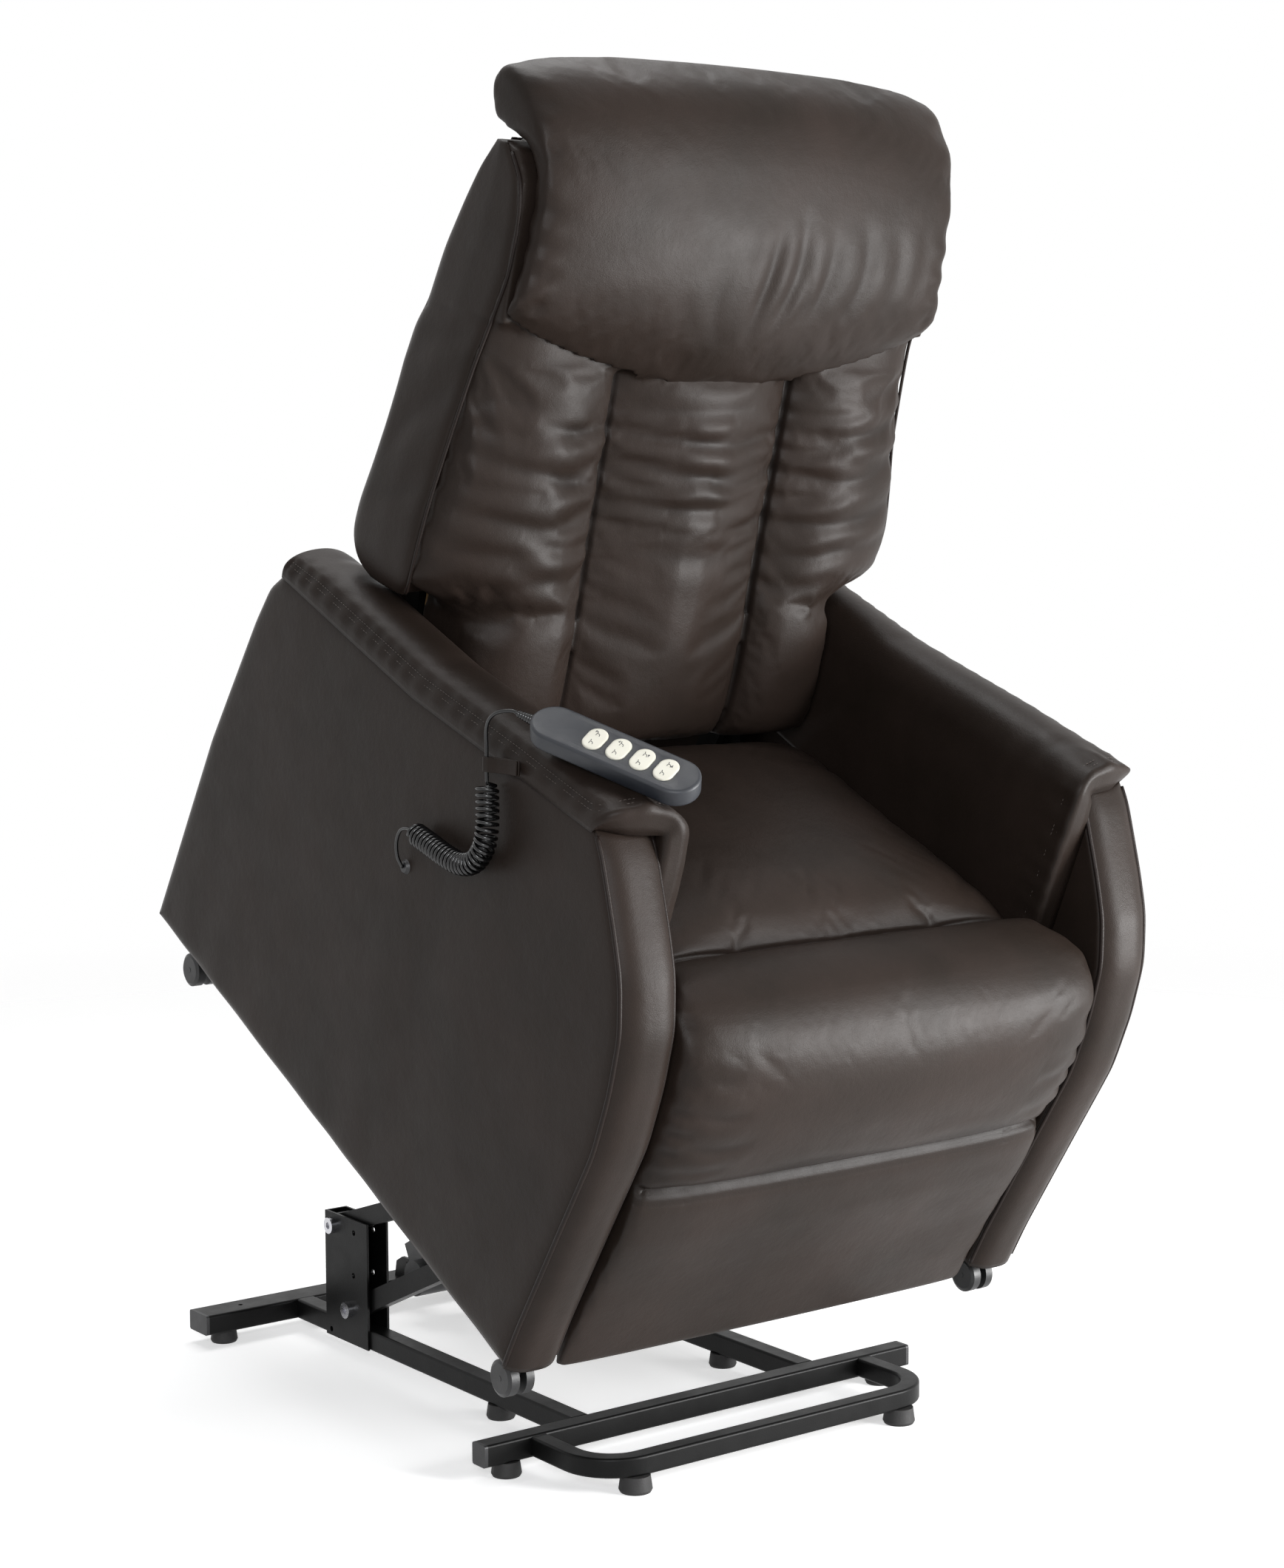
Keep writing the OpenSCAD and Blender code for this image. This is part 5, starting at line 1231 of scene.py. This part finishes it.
def leg_relief(p, n):
    front = np.clip(-n[:, 1] * 1.6 + np.clip(n[:, 2], 0, 1), 0, 1)
    xz = p[:, [0, 2]]
    tuck = [(-290, TUCK_Z), (290, TUCK_Z)]
    h = groove(xz, tuck, 5.0, 9.0) + groove(xz, tuck, 14.0, 3.0)
    gather = np.sin(p[:, 2] / 5.5 + 2.0 * np.sin(p[:, 2] / 29)) * (p[:, 2] > 292)
    h += 1.5 * gather * bell(np.abs(p[:, 0]) - 274, 15)
    h += groove(xz, [(-284, 272), (284, 272)], 1.6, 1.0)
    h += folds(xz, LEG_FOLDS)
    low = np.clip((284 - p[:, 2]) / 40, 0, 1)
    h += low * 1.1 * np.sin(p[:, 0] / 46 + 0.7) * np.sin((p[:, 2] - 30) / 80)
    return front * h


LEG_FOLDS = [
    ([(-262, 400), (-230, 392), (-196, 396)], 8, 1.8), ([(-264, 360), (-226, 350), (-180, 356)], 9, 2.0),
    ([(-262, 322), (-232, 318), (-200, 324)], 7, 1.6), ([(-264, 440), (-240, 436), (-216, 440)], 8, 1.4),
    ([(262, 380), (236, 370), (206, 374)], 8, 1.6), ([(262, 330), (230, 324), (204, 330)], 8, 1.4),
    ([(-170, 300), (-60, 306), (40, 298)], 10, 1.4), ([(60, 302), (140, 308), (230, 300)], 10, 1.3)]
legrest = quilt("legrest_pad_leather", *leg_grid())
puff(legrest, 8, pin=lambda p, n: np.maximum.reduce([
    (n[:, 1] > 0.2) * 1.0, (p[:, 2] < 300) * 1.0, (np.abs(p[:, 0]) > 278) * 1.0]), frames=10, pressure=2.5)
emboss(legrest, leg_relief)
place(legrest, CHAIR, "legrest", "brown_leather", "legrest_pad")

# ---- Handset, its buttons, strain relief and the leather loop ----------------


def capsule_ring(w, length, z, n=40):
    """Outline of a round-ended slab at height z."""
    r, half = w / 2, (length - w) / 2
    a = np.linspace(0, math.pi, n)
    top = np.stack([r * np.cos(a), half + r * np.sin(a)], 1)
    ring = np.concatenate([top, -top])
    return np.column_stack([ring, np.full(len(ring), z)])


def lofted(rings):
    m = len(rings[0])
    faces = [(k * m + i, k * m + (i + 1) % m, (k + 1) * m + (i + 1) % m, (k + 1) * m + i)
             for k in range(len(rings) - 1) for i in range(m)]
    faces.append(tuple(range(m - 1, -1, -1)))
    faces.append(tuple((len(rings) - 1) * m + i for i in range(m)))
    return np.concatenate(rings), faces


def turned(profile, n):
    """A lathe shape round its own Y axis from [y, radius] pairs in mm."""
    rings = []
    for y, r in profile:
        a = np.linspace(0, 2 * math.pi, n, endpoint=False)
        rings.append(np.stack([r * np.cos(a), np.full(n, y), r * np.sin(a)], 1))
    return lofted(rings)


BUTTON_R, BUTTON_HALF, BUTTON_STEP, FIRST_BUTTON = 10.5, 5.0, 27.0, 36.0
PROUD, BUTTON_DEEP, TRAVEL, WELL_GAP, HAND_ROUND = 1.6, 5.0, 1.0, 0.15, 4.2


def button_y(i):
    return -HAND_L / 2 + FIRST_BUTTON + i * BUTTON_STEP


def oval_ring(r, y, z, n=28):
    """Outline of a button, longer across the handset, round height y and at depth z."""
    a = np.linspace(-math.pi / 2, math.pi / 2, n)
    side = np.stack([BUTTON_HALF + r * np.cos(a), r * np.sin(a)], 1)
    ring = np.concatenate([side, -side])
    return np.column_stack([ring[:, 0], y + ring[:, 1], np.full(len(ring), z)])


def handset_mesh():
    rings = []
    for side, rise, first, last in ((-1, 1, 0, math.pi / 2), (1, 0.75, math.pi / 2, 0)):
        for a in np.linspace(first, last, 7):
            inset = HAND_ROUND * (1 - math.sin(a))
            z = side * (HAND_T / 2 - HAND_ROUND * rise * (1 - math.cos(a)))
            rings.append(capsule_ring(HAND_W - 2 * inset, HAND_L - 2 * inset, z))
    v, f = lofted(rings)
    obj = new_object("handset_shell", np.asarray(v) * MM, f)
    tidy(obj)
    for i in range(4):
        low, high = HAND_T / 2 - BUTTON_DEEP - TRAVEL - WELL_GAP * 2, HAND_T / 2 + 10
        verts, faces = lofted([oval_ring(BUTTON_R + WELL_GAP, button_y(i), z) for z in (low, high)])
        cutter = new_object("cutter", np.asarray(verts) * MM, faces)
        tidy(cutter)
        cut = obj.modifiers.new("well", "BOOLEAN")
        cut.operation = "DIFFERENCE"
        cut.object = cutter
        cut.solver = "EXACT"
        apply_modifiers(obj)
        bpy.data.objects.remove(cutter)
    round_edges(obj, 0.35, 50)
    apply_modifiers(obj)
    obj.data.shade_smooth()
    obj.data.set_sharp_from_angle(angle=math.radians(40))
    return obj


handset = handset_mesh()
place(handset, HELD, "seat_body", "handset_shell", "handset")

relief_profile = [(HAND_L / 2 - 2.5, 5.9), (HAND_L / 2 + 1.0, 5.9)]
for k in range(6):
    y = HAND_L / 2 + 1.6 + k * 3.0
    r = mix(5.6, 3.2, (k + 0.5) / 6)
    relief_profile += [(y, r - 0.55), (y + 0.5, r + 0.25), (y + 1.7, r + 0.2), (y + 2.2, r - 0.5)]
relief_profile += [(HAND_L / 2 + RELIEF_L - 0.1, 2.7), (HAND_L / 2 + RELIEF_L, 2.3)]
relief = joined("handset_strain_relief", [turned(relief_profile, 32)], HELD)
paint(relief, CORD)
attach(relief, "seat_body")

CHAIR_SIGN = [[(-3.2, 4.6), (-1.8, 0.6), (2.0, 0.2), (2.8, -3.8)], [(-2.4, 0.4), (-2.6, -3.8)]]
SIGNS = {
    "button_seat_down": [[(4.4, 1.6), (4.4, -2.6)], [(3.2, -1.2), (4.4, -2.8), (5.6, -1.2)]],
    "button_seat_up": [[(4.4, -2.6), (4.4, 1.6)], [(3.2, 0.4), (4.4, 2.0), (5.6, 0.4)]],
    "button_back_down": [[(-5.2, 4.6), (-5.8, 1.6)], [(-6.8, 2.6), (-5.8, 1.2), (-4.6, 2.4)]],
    "button_back_up": [[(-5.8, 1.6), (-5.2, 4.6)], [(-6.3, 3.8), (-5.1, 4.9), (-4.0, 3.4)]],
}
# How far each round of a button's edge lies inside its outline, and its depth
EDGE = [(0, -BUTTON_DEEP), (0, PROUD - 1.1), (0.18, PROUD - 0.65), (0.55, PROUD - 0.3),
        (1.2, PROUD - 0.1), (2.4, PROUD), (6.5, PROUD + 0.05), (9.9, PROUD + 0.06)]
SIGN_SCALE, SIGN_AT = 0.72, 6.6
for i, node_name in enumerate(["button_seat_down", "button_seat_up", "button_back_down",
                               "button_back_up"]):
    y0 = button_y(i)
    rings = [oval_ring(BUTTON_R - inset, y0, z + HAND_T / 2) for inset, z in EDGE]
    button = joined(node_name + "_cap", [lofted(rings)], HELD)
    paint(button, WHITE)
    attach(button, node_name)
    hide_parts(node_name)
    parts = []
    for at, lines in ((SIGN_AT, CHAIR_SIGN + SIGNS[node_name]), (-SIGN_AT, CHAIR_SIGN)):
        for line in lines:
            flat_line = dense([(at + q[1] * SIGN_SCALE, y0 - q[0] * SIGN_SCALE,
                                HAND_T / 2 + PROUD + 0.02) for q in line], 12, 2)
            parts.append(tube_mesh(flat_line, 0.36, 8, first=[0, 0, 1]))
    sign = joined(node_name + "_sign", parts, HELD)
    paint(sign, INK)
    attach(sign, node_name)

LOOP = (CHAIR @ Matrix.Translation((RUN_X * MM, 284 * MM, 610 * MM))
        @ Matrix.Rotation(math.radians(-25), 4, "X"))
LOOP_REACH = -WELT_X - RUN_X - SOFT_GAP


def ribbon(path, width, thick):
    """Closed strap along points in X and Y, standing along Z."""
    p = np.asarray(path, float)
    t = np.gradient(p, axis=0)
    t /= np.linalg.norm(t, axis=1)[:, None]
    n = np.stack([-t[:, 1], t[:, 0]], 1)
    verts, faces = [], []
    section = [(a, b) for a, b in ((-0.5, -0.44), (-0.36, -0.5), (0.36, -0.5), (0.5, -0.44),
                                   (0.5, 0.44), (0.36, 0.5), (-0.36, 0.5), (-0.5, 0.44))]
    for q, m in zip(p, n):
        verts += [(q[0] + m[0] * a * thick, q[1] + m[1] * a * thick, b * width) for a, b in section]
    k = len(section)
    for i in range(len(p) - 1):
        faces += [(i * k + j, i * k + (j + 1) % k, (i + 1) * k + (j + 1) % k, (i + 1) * k + j)
                  for j in range(k)]
    faces += [tuple(range(k - 1, -1, -1)), tuple((len(p) - 1) * k + j for j in range(k))]
    return verts, faces


ring_r = 3.6
ring_arc = [(ring_r * math.cos(a), ring_r * math.sin(a)) for a in np.linspace(-0.5, math.pi + 0.65, 26)]
strap = [(LOOP_REACH - 1.2, -44), (LOOP_REACH - 1.8, -34), (7.4, -18), (4.6, -7)] + ring_arc + [
    (-2.6, -6), (1.6, -16), (LOOP_REACH - 5.4, -32), (LOOP_REACH - 4.2, -44)]
loop = joined("cord_loop_leather", [ribbon(dense(strap, 90, 3), 15, 1.9)], LOOP)
paint(loop, LEATHER)
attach(loop, "seat_body")
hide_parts("cord_loop")

# ---- Floor, light and world --------------------------------------------------

FLOOR_R, FADE_FROM, FADE_TO, FLOOR_GLOW, WORLD_LIGHT = 4.0, 1.0, 3.6, 0.52, 0.13


def seen_rays(tree):
    """1 on rays that show the background: straight ones, mirrored ones and those through glass."""
    path = tree.nodes.new("ShaderNodeLightPath")
    seen = path.outputs["Is Camera Ray"]
    for name in ("Is Glossy Ray", "Is Transmission Ray"):
        both = tree.nodes.new("ShaderNodeMath")
        both.operation = "MAXIMUM"
        tree.links.new(seen, both.inputs[0])
        tree.links.new(path.outputs[name], both.inputs[1])
        seen = both.outputs[0]
    return seen


def floor_material():
    """Pale, with its own glow for the rays that see it, clear towards its rim."""
    m = Nodes("floor_pale")
    radius = m.add("ShaderNodeVectorMath", operation="LENGTH")
    m.link(m.coord, radius.inputs[0])
    fade = m.range(radius.outputs["Value"], FADE_FROM, FADE_TO, 0.0, 1.0)
    glow = m.add("ShaderNodeEmission")
    m.link(m.range(seen_rays(m.tree), 0, 1, 0, FLOOR_GLOW), glow.inputs["Strength"])
    lit = m.add("ShaderNodeAddShader")
    m.link(m.bsdf.outputs[0], lit.inputs[0])
    m.link(glow.outputs[0], lit.inputs[1])
    m.set(Base_Color=(0.92, 0.92, 0.92, 1), Roughness=0.8, Specular_IOR_Level=0.2)
    clear = m.add("ShaderNodeBsdfTransparent")
    both = m.add("ShaderNodeMixShader")
    for socket, source in enumerate((fade, lit.outputs[0], clear.outputs[0])):
        m.link(source, both.inputs[socket])
    m.link(both.outputs[0], m.out.inputs[0])
    return m.mat


bpy.ops.mesh.primitive_circle_add(vertices=96, radius=FLOOR_R, fill_type="NGON", location=(0, 0, 0))
floor = bpy.context.object
floor.name = "floor"
paint(floor, floor_material())

world = bpy.data.worlds.new("studio")
bpy.context.scene.world = world
world.use_nodes = True
tree = world.node_tree
tree.nodes.clear()
strength = tree.nodes.new("ShaderNodeMapRange")
strength.inputs["To Min"].default_value = WORLD_LIGHT
strength.inputs["To Max"].default_value = 1.0
background = tree.nodes.new("ShaderNodeBackground")
background.inputs["Color"].default_value = (1, 1, 1, 1)
world_out = tree.nodes.new("ShaderNodeOutputWorld")
tree.links.new(seen_rays(tree), strength.inputs["Value"])
tree.links.new(strength.outputs["Result"], background.inputs["Strength"])
tree.links.new(background.outputs[0], world_out.inputs[0])


def softbox(name, at, aim, size, power, colour=(1, 1, 1)):
    data = bpy.data.lights.new(name, "AREA")
    data.shape = "RECTANGLE"
    data.size, data.size_y = size
    data.energy = power
    data.color = colour
    lamp = bpy.data.objects.new(name, data)
    bpy.context.scene.collection.objects.link(lamp)
    lamp.location = at
    lamp.rotation_mode = "QUATERNION"
    lamp.rotation_quaternion = (Vector(aim) - Vector(at)).to_track_quat("-Z", "Y")
    return lamp


softbox("key", (1.7, -3.4, 1.7), (0, 0, 0.95), (0.9, 1.2), 90)
softbox("low", (1.75, -2.3, 0.4), (0, -0.3, 0.95), (1.4, 0.75), 118)
softbox("fill", (-2.4, -3.0, 1.7), (0.2, 0, 0.8), (1.2, 1.2), 64, (0.95, 0.97, 1))
softbox("top", (0.2, 0.6, 3.6), (0, 0, 0.8), (2.0, 2.0), 62)

view = bpy.context.scene.view_settings
view.view_transform = "Standard"
